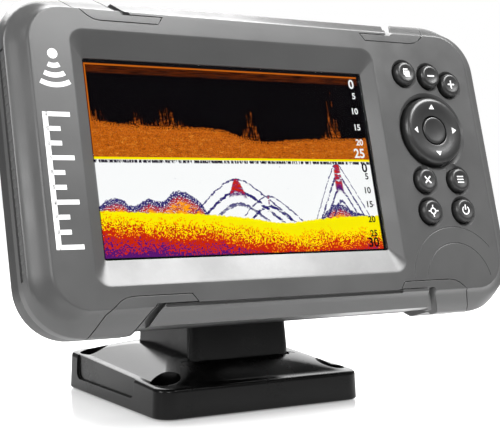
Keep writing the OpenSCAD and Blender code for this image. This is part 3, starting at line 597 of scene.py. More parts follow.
piece(rocker, "rocker_ring", "key_grey", "rocker_ring", angle=50)

ENTER_DISH = 25
enter_face = [(r, 1.6 + ENTER_DISH - math.sqrt(ENTER_DISH ** 2 - r ** 2)) for r in (0, 1.2, 2.4, 3.6, 4.3)]
enter = lathe("key_enter_fine", [*enter_face, (4.65, 1.98), (4.9, 1.9), (5.08, 1.72), (5.2, 1.4), (5.2, -4.2),
                                 (1.6, -4.2), (1.6, -5), (0, -5)], ROCKER, steps=56)
into_head(enter)
piece(enter, "key_enter", "key_grey", "key_enter", angle=50)

# %% Symbols of the keys
def turned(points, at=(0, 0), turn=0):
    """Turns flat points by an angle in degrees and moves them to a place."""
    c, s = math.cos(math.radians(turn)), math.sin(math.radians(turn))
    return [(at[0] + x * c - y * s, at[1] + x * s + y * c) for x, y in points]


def bar(length, width, at=(0, 0), turn=0):
    half, side = length / 2, width / 2
    return turned([(-half, -side), (half, -side), (half, side), (-half, side)], at, turn)


def arc(inner, outer, start, end, at=(0, 0), steps=24):
    """A stretch of a flat ring between two angles in degrees."""
    turns = [math.radians(start + (end - start) * i / steps) for i in range(steps + 1)]
    points = [(outer * math.cos(t), outer * math.sin(t)) for t in turns]
    points += [(inner * math.cos(t), inner * math.sin(t)) for t in reversed(turns)]
    return [(at[0] + x, at[1] + y) for x, y in points]


LINE = 0.55
SYMBOLS = {
    "key_pages": [bar(2.1, 2.4, (0.4, -0.35)), bar(0.4, 2.6, (-1.1, 0.35)), bar(2.2, 0.4, (-0.2, 1.45))],
    "key_zoom_out": [bar(3.2, LINE)],
    "key_zoom_in": [bar(3.2, LINE), bar(LINE, 3.2)],
    "key_exit": [bar(3.6, LINE, turn=45), bar(3.6, LINE, turn=-45)],
    "key_menu": [bar(3.0, 0.45, (0, y)) for y in (-1.1, 0, 1.1)],
    "key_waypoint": [arc(0.85, 1.3, 0, 359), bar(1.3, 0.45, (1.6, 0)), bar(1.3, 0.45, (-1.6, 0)),
                     bar(0.45, 1.3, (0, 1.6)), bar(0.45, 1.3, (0, -1.6))],
    "key_power": [arc(1.25, 1.7, 125, 415), bar(LINE, 1.9, (0, 1.15))],
}


def inlay(name, outlines, surface, radii, at, body):
    """Cuts flat symbols down to a thin shell that follows the surface of the key at this place."""
    blocks = [plate("block", outline, -1, 3) for outline in outlines]
    block = join(blocks, name)
    skin = [(r, surface(r) - 0.08) for r in radii] + [(r, surface(r) + 0.02) for r in reversed(radii)]
    if radii[0] > 0:
        skin.append(skin[0])
    shell = lathe("skin", skin, steps=64)
    use_modifier(block, "BOOLEAN", operation="INTERSECT", solver="EXACT", object=shell, use_self=True)
    bpy.data.objects.remove(shell)
    block.location = (at[0] * MM, at[1] * MM, 0)
    apply_place(block)
    into_head(block)
    piece(block, body, "diffuser")


for name, outlines in SYMBOLS.items():
    inlay(name + "_symbol", outlines, key_top, (0, 0.7, 1.4, 2.1, 2.8), KEYS[name], name)

ARROW_AT = 9.0
ARROW = [(ARROW_AT - 0.85, -1.25), (ARROW_AT + 0.95, 0), (ARROW_AT - 0.85, 1.25)]
arrows = [turned(ARROW, turn=turn) for turn in (0, 90, 180, 270)]
inlay("rocker_arrows", arrows, ring_top, (7.4, 7.9, 8.4, 8.9, 9.4, 9.9, 10.4), ROCKER, "rocker_ring")
print("symbols:", len(SYMBOLS) + 1, "inlays")

# %% [markdown]
# ## Printed area on the left of the face
#
# The left margin of the face carries white printing. Here it is a plain depth scale with echo
# arcs, which any sounder could wear. Printing has almost no thickness, so each mark is a plate
# that stands two hundredths of a millimetre proud of the face.

# %% White print
PRINT_X = -81
PRINT_TOP = 36
TICKS = 10
TICK_STEP = 4.7
TICK = 1.5
SCALE_X = PRINT_X - 4.6
SCALE_TOP = 13
marks = []
for i in range(TICKS):
    length = 8.2 if i % 3 == 0 else 4.6
    marks.append(bar(length, TICK, (SCALE_X + length / 2, SCALE_TOP - i * TICK_STEP)))
scale_long = (TICKS - 1) * TICK_STEP
marks.append(bar(1.7, scale_long + TICK, (SCALE_X, SCALE_TOP - scale_long / 2)))
for radius in (4, 7.2, 10.4):
    marks.append(arc(radius - 0.8, radius + 0.8, 242, 298, (PRINT_X, PRINT_TOP - 3), steps=16))
marks.append(arc(0, 1.7, 0, 350, (PRINT_X, PRINT_TOP - 3), steps=18)[:19])
print_plates = join([plate("mark", outline, -0.05, 0.02) for outline in marks], "face_print")
into_head(print_plates)
piece(print_plates, "head", "diffuser")
print("print:", len(marks), "marks")

# %% [markdown]
# ## Window, picture and depth figures
#
# The window is a clear plate with a fine bevel, and the picture lies on the display panel half a
# millimetre behind it. The panel is the CAD node itself, because its shape is right and only its
# finish matters. The figures of the depth scales are text, turned into a mesh a hair's breadth
# thick and laid on the panel.

# %% Window
GLASS = (WINDOW[0] - 0.15, WINDOW[1] - 0.15)
window = loft("display_window_fine", [
    (SCREEN_X, 0, *GLASS, 1, -4.3), (SCREEN_X, 0, *GLASS, 1, -3.3),
    (SCREEN_X, 0, GLASS[0] - 0.2, GLASS[1] - 0.2, 0.9, -3.1)], corner=6)
into_head(window)
piece(window, "head", "window", "display_window", angle=50)

# %% Depth figures
PICTURE = (108, 64.8)
PANEL_DEPTH = 4.6
FIGURES = {
    "figures_upper": [("0", 0.955, 3.3), ("5", 0.885, 2.2), ("10", 0.795, 2.2), ("15", 0.70, 2.2),
                      ("20", 0.612, 2.2), ("25", 0.548, 3.3)],
    "figures_lower": [("0", 0.465, 3.3), ("5", 0.415, 2.2), ("10", 0.335, 2.2), ("15", 0.255, 2.2),
                      ("20", 0.17, 2.2), ("25", 0.09, 2.2), ("30", 0.04, 3.3)],
}
CAP_SHARE = 0.69  # height of a figure as a share of the text size


def figure(text, across, up, height, name):
    """A figure of this height whose right edge and middle lie at these shares of the picture."""
    bpy.ops.object.select_all(action="DESELECT")
    bpy.ops.object.text_add()
    ob = bpy.context.object
    ob.name = name
    ob.data.body = text
    ob.data.align_x = "RIGHT"
    ob.data.size = height * MM / CAP_SHARE
    ob.data.offset = 0.035 * height * MM
    ob.data.extrude = 0.015 * MM
    ob.data.resolution_u = 4
    bpy.ops.object.convert(target="MESH")
    ob.location = ((SCREEN_X + (across - 0.5) * PICTURE[0]) * MM,
                   ((up - 0.5) * PICTURE[1] - height / 2) * MM, -(PANEL_DEPTH - 0.02) * MM)
    apply_place(ob)
    return ob


for name, rows in FIGURES.items():
    figures = join([figure(text, 0.985, up, height, name) for text, up, height in rows], name)
    edit(figures)
    bpy.ops.mesh.select_all(action="SELECT")
    bpy.ops.mesh.remove_doubles(threshold=1e-7)
    object_mode()
    into_head(figures)
    piece(figures, "head", "lcd")

# %% [markdown]
# ## Rear housing
#
# The back of the case is a deep tray: a straight band, then a taper to a flat back that carries
# the cradle's keyholes, the power socket, the card door and a vent. It is lofted like the front.
# The cavity is lofted too, and the solid blocks round the fittings are taken out of the cavity
# before it is cut, so the blocks remain as part of the tray's wall.

# %% Tray
BAND = (94.3, 55.2)
BACK = (70, 38)
BAND_DEPTH = 22
CASE_DEPTH = 36
WALL = 2.5


def taper(depth):
    """Half width and half height of the tray where it narrows towards the back."""
    share = (depth - BAND_DEPTH) / (CASE_DEPTH - BAND_DEPTH)
    return tuple(a + (b - a) * share for a, b in zip(BAND, BACK))


rear = loft("rear_housing_fine", [
    (0, 0, 69.2, 37.4, 13.4, -36), (0, 0, 70.2, 38.1, 13.8, -35.75), (0, 0, *taper(35.2), 14.2, -35.2),
    (0, 0, *taper(23.4), 16.8, -23.4), (0, 0, 93.4, 54.5, 17, -22.5), (0, 0, 94.0, 55.0, 17, -21.9),
    (0, 0, *BAND, 17, -21), (0, 0, *BAND, 17, -12.5), (0, 0, 94.0, 54.9, 17, -12.1)], corner=12)
cavity = loft("cavity", [
    (0, 0, BACK[0] - 1.6, BACK[1] - 1.6, 12.6, -(CASE_DEPTH - WALL)),
    (0, 0, BAND[0] - WALL, BAND[1] - WALL, 15, -(BAND_DEPTH - 0.6)),
    (0, 0, BAND[0] - WALL, BAND[1] - WALL, 15, -11)], corner=10)
SOCKET = (44, -24)
CARD = (-46, 14)
VENT = (46, 22)


def block(x, y, half_x, half_y, front, back, radius=0.6):
    return loft("block", [(x, y, half_x, half_y, radius, -back), (x, y, half_x, half_y, radius, -front)],
                corner=3)


def drum(at, radius, front, back, steps=40):
    return lathe("drum", [(0, -back), (radius, -back), (radius, -front), (0, -front)], at, steps)


solid_parts = [drum(at, 4.4, 12.4, 45) for at in CASE_SCREWS]
solid_parts += [drum(SOCKET, 12, 26, 45), block(*CARD, 13, 8, 30.5, 45), block(0, -8, 28, 28, 29.5, 45)]
cut(cavity, join(solid_parts, "solid_parts"))
cut(rear, cavity)
cut(rear, lathe("collar", [(0, -34), (12, -34), (12, -38.3), (11.8, -38.8), (11.3, -39), (0, -39)], SOCKET,
                steps=64), "UNION")

rear_rail = plate("rear_rail", [(x, y - 1) for x, y in RAIL], -45, -9)
for sy in (1, -1):
    cut(rear, mirrored(rear_rail, "rail_side", 1, sy))
bpy.data.objects.remove(rear_rail)
cut(rear, join([
    lathe("screw_hole", [(0, -11), (1.8, -11), (1.8, -16), (3.3, -16), (3.3, -45), (0, -45)], at, 32)
    for at in CASE_SCREWS], "screw_holes"))

LIFT = 8
keyholes = []
for x in (-20, 20):
    for y in (10, -16):
        keyholes += [block(x, y - LIFT / 2, 2.4, LIFT / 2 + 2.8, 31.4, 37.6, 1.2),
                     block(x, y - LIFT, 3.9, 3, 30.9, 37.2, 1.6),
                     block(x, y - LIFT / 2, 4.1, LIFT / 2 + 3.1, 30.6, 33.2, 1.2)]
cut(rear, join(keyholes, "keyholes"), overlapping=True)

latch = plate("latch_pocket", [(-37, 9.5), (-32.9, 9.5), (-32.9, 4.6), (-36, -3.9), (-37, -6.7)], -6.6, 6.6)
latch.rotation_euler = (0, -math.pi / 2, 0)
apply_place(latch)
latch_box = [tuple(round(c / MM, 1) for c in corner) for corner in (latch.bound_box[0], latch.bound_box[6])]
print("latch pocket from", latch_box[0], "to", latch_box[1])
cut(rear, latch)
cut(rear, drum(SOCKET, 10.1, 20, 45))
cut(rear, block(*CARD, 11.2, 6.2, 33.3, 37, 0.8))
cut(rear, block(CARD[0], CARD[1] - 1, 6.4, 1.2, 20, 37, 0.3))
cut(rear, drum(VENT, 4.1, 20, 45))
soften(rear, 0.3, 2, 42)
into_head(rear)
piece(rear, "head", "rear_black", "rear_housing", angle=32)
print("rear housing:", len(rear.data.polygons), "faces")

# %% [markdown]
# ## The foot
#
# The bracket's foot is a drafted square block whose top rises to the back and sweeps up in a
# saddle to the post. The saddle is a loft too: each ring is smaller and higher than the last, in
# steps that grow flatter towards the post. The rise towards the back is given afterwards, by lifting
# every point in proportion to how far back and how high it lies.

# %% Foot
FOOT = 42
BACK_RISE = 3.8
SADDLE_Z = 10.45
SADDLE_RISE = 4.8
DOME = 1.4
HOLES = [(sx * 34.5, sy * 31) for sx in (-1, 1) for sy in (-1, 1)]
POST_SCREWS = [(x, y) for x in (-12, 12) for y in (-10, 14)]
saddle = []
for i in range(11):
    t = i / 10
    half_x = 38.2 - 15 * t
    front = -38.4 + 10.4 * t
    back = 38.6 - 11.6 * t
    saddle.append((0, (front + back) / 2, half_x, (back - front) / 2, 5.5 + 11 * t,
                   SADDLE_Z + SADDLE_RISE * t * (1.5 - 0.5 * t)))
block_rings = [(0, 0, FOOT - inset, FOOT - inset, radius, z) for inset, radius, z in (
    (0.3, 6.3, 0), (0, 6.5, 0.35), (0.35, 6.4, 9), (0.55, 6.3, 9.7), (1, 6, 10.15), (1.7, 5.8, 10.38))]
foot = loft("base_plate_fine", [*block_rings, *saddle], corner=10)
for vertex in foot.data.vertices:
    x, y, z = vertex.co / MM
    lift = BACK_RISE * (y + FOOT) / (2 * FOOT) * min(1, z / 10.4)
    dome = DOME * (1 - (y / 30) ** 2) * max(0, z - SADDLE_Z) / SADDLE_RISE
    vertex.co.z += (lift + dome) * MM

hollow = loft("hollow", [(0, 0, FOOT - 3.2, FOOT - 3.2, 5, -1), (0, 0, FOOT - 3.6, FOOT - 3.6, 5, 8.4)])
for at in HOLES:
    cut(hollow, lathe("boss", [(0, -2), (6.6, -2), (6.6, 12), (0, 12)], at, steps=40))
core = loft("core", [(0, 0, 23, 28, 2, 2), (0, 0, 23, 28, 2, 12)])
cut(hollow, core)
for half_x, half_y in ((45, 1), (1, 45)):
    cut(hollow, loft("rib", [(0, 0, half_x, half_y, 0.2, 2), (0, 0, half_x, half_y, 0.2, 12)]))
cut(foot, hollow)
for at in HOLES:
    cut(foot, lathe("hole", [(0, -1), (2.3, -1), (2.3, 7.4), (5.4, 7.4), (5.4, 20), (0, 20)], at, steps=48))
for at in POST_SCREWS:
    cut(foot, lathe("post_screw_hole", [(0, -1), (3.8, -1), (3.8, 3.4), (1.8, 3.4), (1.8, 20), (0, 20)],
                    at, steps=32))
cut(foot, loft("post_socket", [(0, -0.1, 20.5, 21.1, 0.8, z) for z in (6, 26)]))
cut(foot, loft("cover_socket", [(0, -22.9, 21.2, 2.5, 2.4, z) for z in (8, 26)]))
PANEL_FRONT, PANEL_BACK, PANEL_LOW, PANEL_ROUND = -20.5, 31, 4.2, 3  # the hollow in each side
panel_outline = [(PANEL_BACK, 20), (PANEL_FRONT, 20)]
for centre_y, start in ((PANEL_FRONT + PANEL_ROUND, 180), (PANEL_BACK - PANEL_ROUND, 270)):
    for a in (math.radians(start + i * 15) for i in range(7)):
        panel_outline.append((centre_y + PANEL_ROUND * math.cos(a),
                              PANEL_LOW + PANEL_ROUND + PANEL_ROUND * math.sin(a)))
for side in (-1, 1):
    panel = plate("side_panel", panel_outline, side * 40.8, side * 44)
    upright(panel)
    cut(foot, panel)
    cut(foot, loft("slit", [(side * 21.8, -22.6, 2.4, 0.4, 0.3, z) for z in (13.6, 30)]))
soften(foot, 0.35, 2, 40)
piece(foot, "bracket", "bracket_black", "base_plate", angle=30)
print("foot:", len(foot.data.polygons), "faces")

# %% [markdown]
# ## The post and its cover
#
# The post is one side view given a width, with room for the cradle's knuckle cut out between its
# ears. Its front wears a separate cover with round corners, and the joint between the two is the
# groove that runs down each side.

# %% Post
PIVOT = joints["head_tilt"]["pos_m"]
PIVOT_Y, PIVOT_Z = PIVOT[1] / MM, PIVOT[2] / MM
EAR = 12
POST_HALF = 20.4


ear_arc = [(PIVOT_Y + EAR * math.cos(a), PIVOT_Z + EAR * math.sin(a))
           for a in (math.radians(-8 + i * 196 / 24) for i in range(25))]
post = plate("post_body_fine", [
    (-21.1, 6.1), (20.9, 6.1), (20.4, 14), (19.6, 24), (18.4, 34), (16.6, 45), (15, 54), *ear_arc,
    (-11.2, 55), (-13.4, 49), (-14.6, 43), (-15.8, 38.6), (-18, 36.4), (-21.1, 34.6)], -POST_HALF, POST_HALF)
upright(post)
room = plate("knuckle_room", [(-40, 41), (40, 41), (40, 101), (-40, 101)], -9.6, 9.6)
upright(room)
cut(post, room)
soften(post, 1.1, 3, 50)


def cross_hole(outline, steps):
    """A turned cutter through the tilt axis. The outline is (radius, x) points."""
    ob = lathe("cross_hole", outline, steps=steps)
    ob.rotation_euler = (0, math.pi / 2, 0)
    apply_place(ob)
    ob.location = (0, PIVOT_Y * MM, PIVOT_Z * MM)
    apply_place(ob)
    return ob


cut(post, cross_hole([(0, -30), (7.2, -30), (7.2, -19.2), (5.6, -19.2), (5.6, -14.4), (3.05, -14.4),
                      (3.05, 19.2), (7.2, 19.2), (7.2, 30), (0, 30)], 48))
cut(post, cross_hole([(0, 14.4), (5.9, 14.4), (5.9, 19.7), (0, 19.7)], 6))
cut(post, loft("post_core", [(0, 2, 15, 12, 1, 16), (0, 2, 15, 12, 1, 36)]))
for at in POST_SCREWS:
    cut(post, lathe("pilot", [(0, 4), (1.35, 4), (1.35, 14), (0, 14)], at, steps=24))
piece(post, "bracket", "bracket_black", "post_body", angle=36)

# %% Cover
COVER_BACK = -21.8  # leaves a groove in front of the post
COVER_FORM = [  # half width, front, height
    (20.6, -24.6, 8.1), (21, -25, 8.5), (20.8, -24.6, 20), (20.1, -23.4, 32), (19.8, -22.9, 34.8),
    (19.3, -22.5, 35.7), (18.6, -22, 36),
]
cover = loft("post_front_cover_fine", [
    (0, (front - 10) / 2, half_x, (-10 - front) / 2, 3.4, z) for half_x, front, z in COVER_FORM], corner=10)
cut(cover, block(0, 10, 40, 10 - COVER_BACK, -50, 2))
soften(cover, 0.3, 2, 50)
piece(cover, "bracket", "bracket_black", "post_front_cover", angle=36)
print("post and cover:", len(post.data.polygons) + len(cover.data.polygons), "faces")

# %% [markdown]
# ## Parts that keep their CAD shape
#
# The cradle, the lever, the screws and the fittings on the back are already right in shape. They
# only lack the small rounds that every moulded or turned part has, so each is remade from its
# node with broken edges.

# %% Remade parts
REMADE = {
    "cradle": 0.6, "release_lever": 0.35, "plug_socket": 0.3, "socket_seal": 0.1, "card_door": 0.2,
    "vent_plug": 0.25, "case_screws": 0.12, "tilt_bolt": 0.3, "tilt_nut": 0.25, "bolt_caps": 0.3,
    "post_screws": 0.15, "base_pad": 0.3, "lever_pin": 0.2, "socket_pins": 0.12,
}
for node, width in REMADE.items():
    made = remake(node, width)
    print(node, len(made.data.polygons), "faces")

# %% [markdown]
# ## Finishes
#
# A moulded case is never one flat colour. It has a fine spark-eroded grain, slightly uneven
# gloss where hands touch it, a paler line along its edges that is partly rubbed wear and partly a
# painted edge highlight, and dust that settles on faces that look up. Each of these is one shader
# node group, built once here and placed in each material with its own values, so the plastics of
# the object look related.

# %% A small helper for building node trees
class Tree:
    """Adds nodes to a material or group. A number or a socket may be given for any input."""

    def __init__(self, tree):
        self.tree = tree

    def node(self, kind, **settings):
        made = self.tree.nodes.new(kind)
        for key, value in settings.items():
            setattr(made, key, value)
        return made

    def feed(self, socket, value):
        if isinstance(value, bpy.types.NodeSocket):
            self.tree.links.new(value, socket)
        else:
            socket.default_value = value

    def math(self, operation, a, b=0.5, c=0.5, clamp=False):
        made = self.node("ShaderNodeMath", operation=operation, use_clamp=clamp)
        for socket, value in zip(made.inputs, (a, b, c)):
            self.feed(socket, value)
        return made.outputs[0]

    def ramp(self, value, low, high, out_low=0.0, out_high=1.0):
        """Maps low..high smoothly to out_low..out_high."""
        made = self.node("ShaderNodeMapRange", interpolation_type="SMOOTHSTEP")
        for socket, item in zip(made.inputs, (value, low, high, out_low, out_high)):
            self.feed(socket, item)
        return made.outputs[0]

    def mix(self, share, a, b):
        made = self.node("ShaderNodeMix", data_type="RGBA")
        self.feed(made.inputs[0], share)
        self.feed(made.inputs[6], a)
        self.feed(made.inputs[7], b)
        return made.outputs[2]

    def noise(self, where, scale, detail=2.0, roughness=0.5):
        made = self.node("ShaderNodeTexNoise")
        self.feed(made.inputs["Vector"], where)
        self.feed(made.inputs["Scale"], scale)
        self.feed(made.inputs["Detail"], detail)
        self.feed(made.inputs["Roughness"], roughness)
        return made.outputs["Fac"]

    def scaled(self, where, scale):
        made = self.node("ShaderNodeMapping")
        self.feed(made.inputs["Vector"], where)
        self.feed(made.inputs["Scale"], scale)
        return made.outputs[0]

    def place(self):
        return self.node("ShaderNodeTexCoord").outputs["Object"]

    def group(self, group, **values):
        made = self.node("ShaderNodeGroup")
        made.node_tree = group
        for key, value in values.items():
            self.feed(made.inputs[key.replace("_", " ")], value)
        return made.outputs


def new_group(name, inputs, outputs):
    group = bpy.data.node_groups.new(name, "ShaderNodeTree")
    for label, kind, value in inputs:
        socket = group.interface.new_socket(label, in_out="INPUT", socket_type=kind)
        if value is not None:
            socket.default_value = value
    for label, kind in outputs:
        group.interface.new_socket(label, in_out="OUTPUT", socket_type=kind)
    tree = Tree(group)
    return group, tree, tree.node("NodeGroupInput").outputs, tree.node("NodeGroupOutput").inputs


# %% Moulded grain
FLOAT, VECTOR, COLOUR = "NodeSocketFloat", "NodeSocketVector", "NodeSocketColor"
grain_group, t, ins, outs = new_group(
    "moulded_grain", [("Place", VECTOR, None), ("Size", FLOAT, 1.0)],
    [("Height", FLOAT), ("Patches", FLOAT)])
pits = t.noise(ins["Place"], t.math("DIVIDE", 2600, ins["Size"]), 2.0)
fine = t.noise(ins["Place"], t.math("DIVIDE", 7000, ins["Size"]), 1.0)
t.feed(outs["Height"], t.math("MULTIPLY_ADD", pits, 0.65, t.math("MULTIPLY", fine, 0.35)))
t.feed(outs["Patches"], t.noise(ins["Place"], 38, 4.0, 0.6))

# %% Edge wear and painted edge highlight
# Mask of the edges that are painted paler, partly as rubbed wear and partly as a painted edge highlight.
edge_wear_glint_group, t, ins, outs = new_group(
    "edge_wear", [("Place", VECTOR, None), ("Width", FLOAT, 0.0006), ("Breakup", FLOAT, 0.5)],
    [("Mask", FLOAT)])
rounded_normal = t.node("ShaderNodeBevel", samples=4)
t.feed(rounded_normal.inputs["Radius"], ins["Width"])
true_normal = t.node("ShaderNodeNewGeometry").outputs["Normal"]
dot = t.node("ShaderNodeVectorMath", operation="DOT_PRODUCT")
t.feed(dot.inputs[0], rounded_normal.outputs[0])
t.feed(dot.inputs[1], true_normal)
edge = t.ramp(t.math("SUBTRACT", 1, dot.outputs["Value"]), 0.02, 0.22)
patchy = t.ramp(t.noise(ins["Place"], 240, 3.0, 0.6), 0.3, 0.65)
t.feed(outs["Mask"], t.math("MULTIPLY", edge, t.math("SUBTRACT", 1, t.math(
    "MULTIPLY", ins["Breakup"], t.math("SUBTRACT", 1, patchy)))))

# %% Dust on faces that look up
dust_group, t, ins, outs = new_group(
    "settled_dust", [("Place", VECTOR, None), ("Amount", FLOAT, 0.3)], [("Mask", FLOAT)])
upward = t.node("ShaderNodeSeparateXYZ")
t.feed(upward.inputs[0], t.node("ShaderNodeNewGeometry").outputs["Normal"])
clumps = t.ramp(t.noise(ins["Place"], 420, 5.0, 0.7), 0.42, 0.75)
t.feed(outs["Mask"], t.math("MULTIPLY", t.math("MULTIPLY", t.ramp(upward.outputs["Z"], 0.35, 1.0), clumps),
                            ins["Amount"]))
print("node groups:", [g.name for g in (grain_group, edge_wear_glint_group, dust_group)])

# %% [markdown]
# ## Plastics
#
# All the moulded plastics share one recipe: a base colour with a faint mottle, edges painted
# slightly paler as rubbed wear and as a painted edge highlight, a little dust on top, and a roughness
# that varies with the same mottle. What makes them differ is colour, gloss, grain size and how
# strongly their edges are painted paler.

# %% Plastic recipe
DUST = (0.42, 0.41, 0.39, 1)


def rgba(value, tint=(1, 1, 1)):
    return (value * tint[0], value * tint[1], value * tint[2], 1)


def finish_shader(name, **sockets):
    """A new material with one Principled shader. Returns the tree, the shader and the material."""
    material = bpy.data.materials.new(name)
    material.use_nodes = True
    tree = Tree(material.node_tree)
    shader = material.node_tree.nodes["Principled BSDF"]
    for label, value in sockets.items():
        shader.inputs[label.replace("_", " ")].default_value = value
    return tree, shader, material


def plastic(name, colour, rubbed_and_glint_colour, roughness, grain=1.0, bump=0.02, wear=0.5, dust=0.15, mottle=0.12,
            **sockets):
    tree, shader, material = finish_shader(name, **sockets)
    place = tree.place()
    surface = tree.group(grain_group, Place=place, Size=grain)
    worn_and_glint_mask = tree.math("MULTIPLY", tree.group(edge_wear_glint_group, Place=place, Width=0.0005, Breakup=0.7)["Mask"], wear)
    dusty = tree.group(dust_group, Place=place, Amount=dust)["Mask"]
    dark = tuple(c * (1 - mottle) for c in colour[:3]) + (1,)
    light = tuple(min(1, c * (1 + mottle)) for c in colour[:3]) + (1,)
    base = tree.mix(surface["Patches"], dark, light)
    # Edges painted paler: partly rubbed wear, partly a painted edge highlight.
    base = tree.mix(worn_and_glint_mask, base, rubbed_and_glint_colour)
    base = tree.mix(dusty, base, DUST)
    tree.feed(shader.inputs["Base Color"], base)
    rough = tree.ramp(surface["Patches"], 0.3, 0.7, roughness - 0.06, roughness + 0.06)
    rough = tree.math("SUBTRACT", rough, tree.math("MULTIPLY", worn_and_glint_mask, 0.12))
    rough = tree.math("ADD", rough, tree.math("MULTIPLY", dusty, 0.3), clamp=True)
    tree.feed(shader.inputs["Roughness"], rough)
    relief = tree.node("ShaderNodeBump")
    relief.inputs["Strength"].default_value = 1.0
    relief.inputs["Distance"].default_value = bump * MM
    tree.feed(relief.inputs["Height"], surface["Height"])
    tree.feed(shader.inputs["Normal"], relief.outputs[0])
    return material


PLASTICS = {  # colour, colour of the rubbed and highlighted edges, roughness, and what differs from a plain moulding
    "case_grey": (rgba(0.058), rgba(0.15), 0.34, dict(bump=0.012, wear=0.3, dust=0.08)),
    "clip_grey": (rgba(0.06), rgba(0.16), 0.36, dict(bump=0.018, wear=0.35, dust=0.10)),
    "strip_grey": (rgba(0.075), rgba(0.17), 0.42, dict(bump=0.02, wear=0.4, dust=0.1)),
    "rear_black": (rgba(0.014), rgba(0.05), 0.42, dict(grain=1.4, bump=0.03, wear=0.4, dust=0.12)),
    "key_grey": (rgba(0.018), rgba(0.07), 0.34, dict(bump=0.014, wear=0.4, dust=0.06)),
    # The bracket's pale edge colour is mainly a painted edge highlight on the black moulding.
    "bracket_black": (rgba(0.0016), rgba(0.12), 0.24,
                      dict(grain=1.2, bump=0.008, wear=0.55, dust=0.015, Specular_IOR_Level=0.24)),
    "seal_rubber": (rgba(0.018), rgba(0.03), 0.72, dict(grain=1.8, bump=0.03, wear=0.2)),
    "seal_red": ((0.20, 0.025, 0.015, 1), (0.28, 0.05, 0.03, 1), 0.62, dict(wear=0.2)),
    "membrane": (rgba(0.03), rgba(0.05), 0.66, dict(wear=0.1)),
    "diffuser": (rgba(0.78), rgba(0.72), 0.5, dict(bump=0.008, wear=0.2, dust=0.05, mottle=0.05)),
    "chip_black": (rgba(0.012), rgba(0.05), 0.45, dict(bump=0.01, wear=0.2)),
    "ribbon": ((0.42, 0.20, 0.045, 1), (0.5, 0.28, 0.08, 1), 0.38, dict(wear=0.1)),
    "ceramic": ((0.52, 0.49, 0.42, 1), (0.6, 0.58, 0.52, 1), 0.6, dict(wear=0.2)),
}
finishes = {name: plastic(name, *values, **differs) for name, (*values, differs) in PLASTICS.items()}
print("plastics:", len(finishes))

# %% [markdown]
# ## Metals and the circuit board
#
# Metals get a turned or brushed look from noise that is stretched along one axis. The board is
# green lacquer over copper, with tracks as a pattern of fine lines under the lacquer.

# %% Metals and board
def metal(name, colour, roughness, stretch=(60, 2400, 2400), scratch=0.012):
    tree, shader, material = finish_shader(name, Metallic=1.0)
    place = tree.place()
    lines = tree.noise(tree.scaled(place, stretch), 1.0, 3.0, 0.6)
    stains = tree.noise(place, 90, 4.0, 0.6)
    dull = tuple(c * 0.72 for c in colour[:3]) + (1,)
    tree.feed(shader.inputs["Base Color"], tree.mix(tree.ramp(stains, 0.35, 0.7), colour, dull))
    tree.feed(shader.inputs["Roughness"], tree.ramp(lines, 0.25, 0.75, roughness - 0.1, roughness + 0.12))
    relief = tree.node("ShaderNodeBump")
    relief.inputs["Distance"].default_value = scratch * MM
    tree.feed(relief.inputs["Height"], lines)
    tree.feed(shader.inputs["Normal"], relief.outputs[0])
    return material


def circuit_board(name):
    tree, shader, material = finish_shader(name, Coat_Weight=0.5, Coat_Roughness=0.15)
    place = tree.place()
    cells = tree.node("ShaderNodeTexVoronoi", distance="CHEBYCHEV", feature="DISTANCE_TO_EDGE")
    tree.feed(cells.inputs["Vector"], place)
    cells.inputs["Scale"].default_value = 260
    tracks = tree.ramp(cells.outputs["Distance"], 0.03, 0.07)
    tree.feed(shader.inputs["Base Color"], tree.mix(tracks, (0.05, 0.20, 0.07, 1), (0.008, 0.075, 0.035, 1)))
    tree.feed(shader.inputs["Roughness"], tree.ramp(tracks, 0, 1, 0.35, 0.5))
    return material


finishes.update({
    "steel": metal("steel", rgba(0.55), 0.3),
    "tin_plate": metal("tin_plate", rgba(0.62), 0.36),
    "aluminium": metal("aluminium", rgba(0.66), 0.42, (1800, 60, 1800)),
    "gold": metal("gold", (0.83, 0.60, 0.24, 1), 0.28),
    "washer": metal("washer", (0.50, 0.46, 0.38, 1), 0.4),
    "board_green": circuit_board("board_green"),
})

# %% [markdown]
# ## The window
#
# The window is clear and almost smooth. Faint smears of handling show only where light glances
# off it, so they belong in its roughness.

# %% Window glass
tree, shader, material = finish_shader("window", Transmission_Weight=1.0, IOR=1.1, Specular_IOR_Level=0.1)
smears = tree.noise(tree.scaled(tree.place(), (30, 30, 60)), 1.0, 4.0, 0.65)
tree.feed(shader.inputs["Base Color"], tree.mix(smears, (0.97, 0.98, 0.98, 1), (0.93, 0.95, 0.95, 1)))
tree.feed(shader.inputs["Roughness"], tree.ramp(smears, 0.5, 0.8, 0.015, 0.06))
finishes["window"] = material

# %% [markdown]
# ## The sonar picture
#
# The picture glows, so it is drawn in the emission of the display panel. First the place on the
# panel becomes two shares: `across` from left to right and `up` from bottom to top. Then each
# layer is a mask made from a curve over `across`: the bottom's profile is a short float curve,
# and echoes are noise that is stretched in one direction, as a scrolling trace makes it.

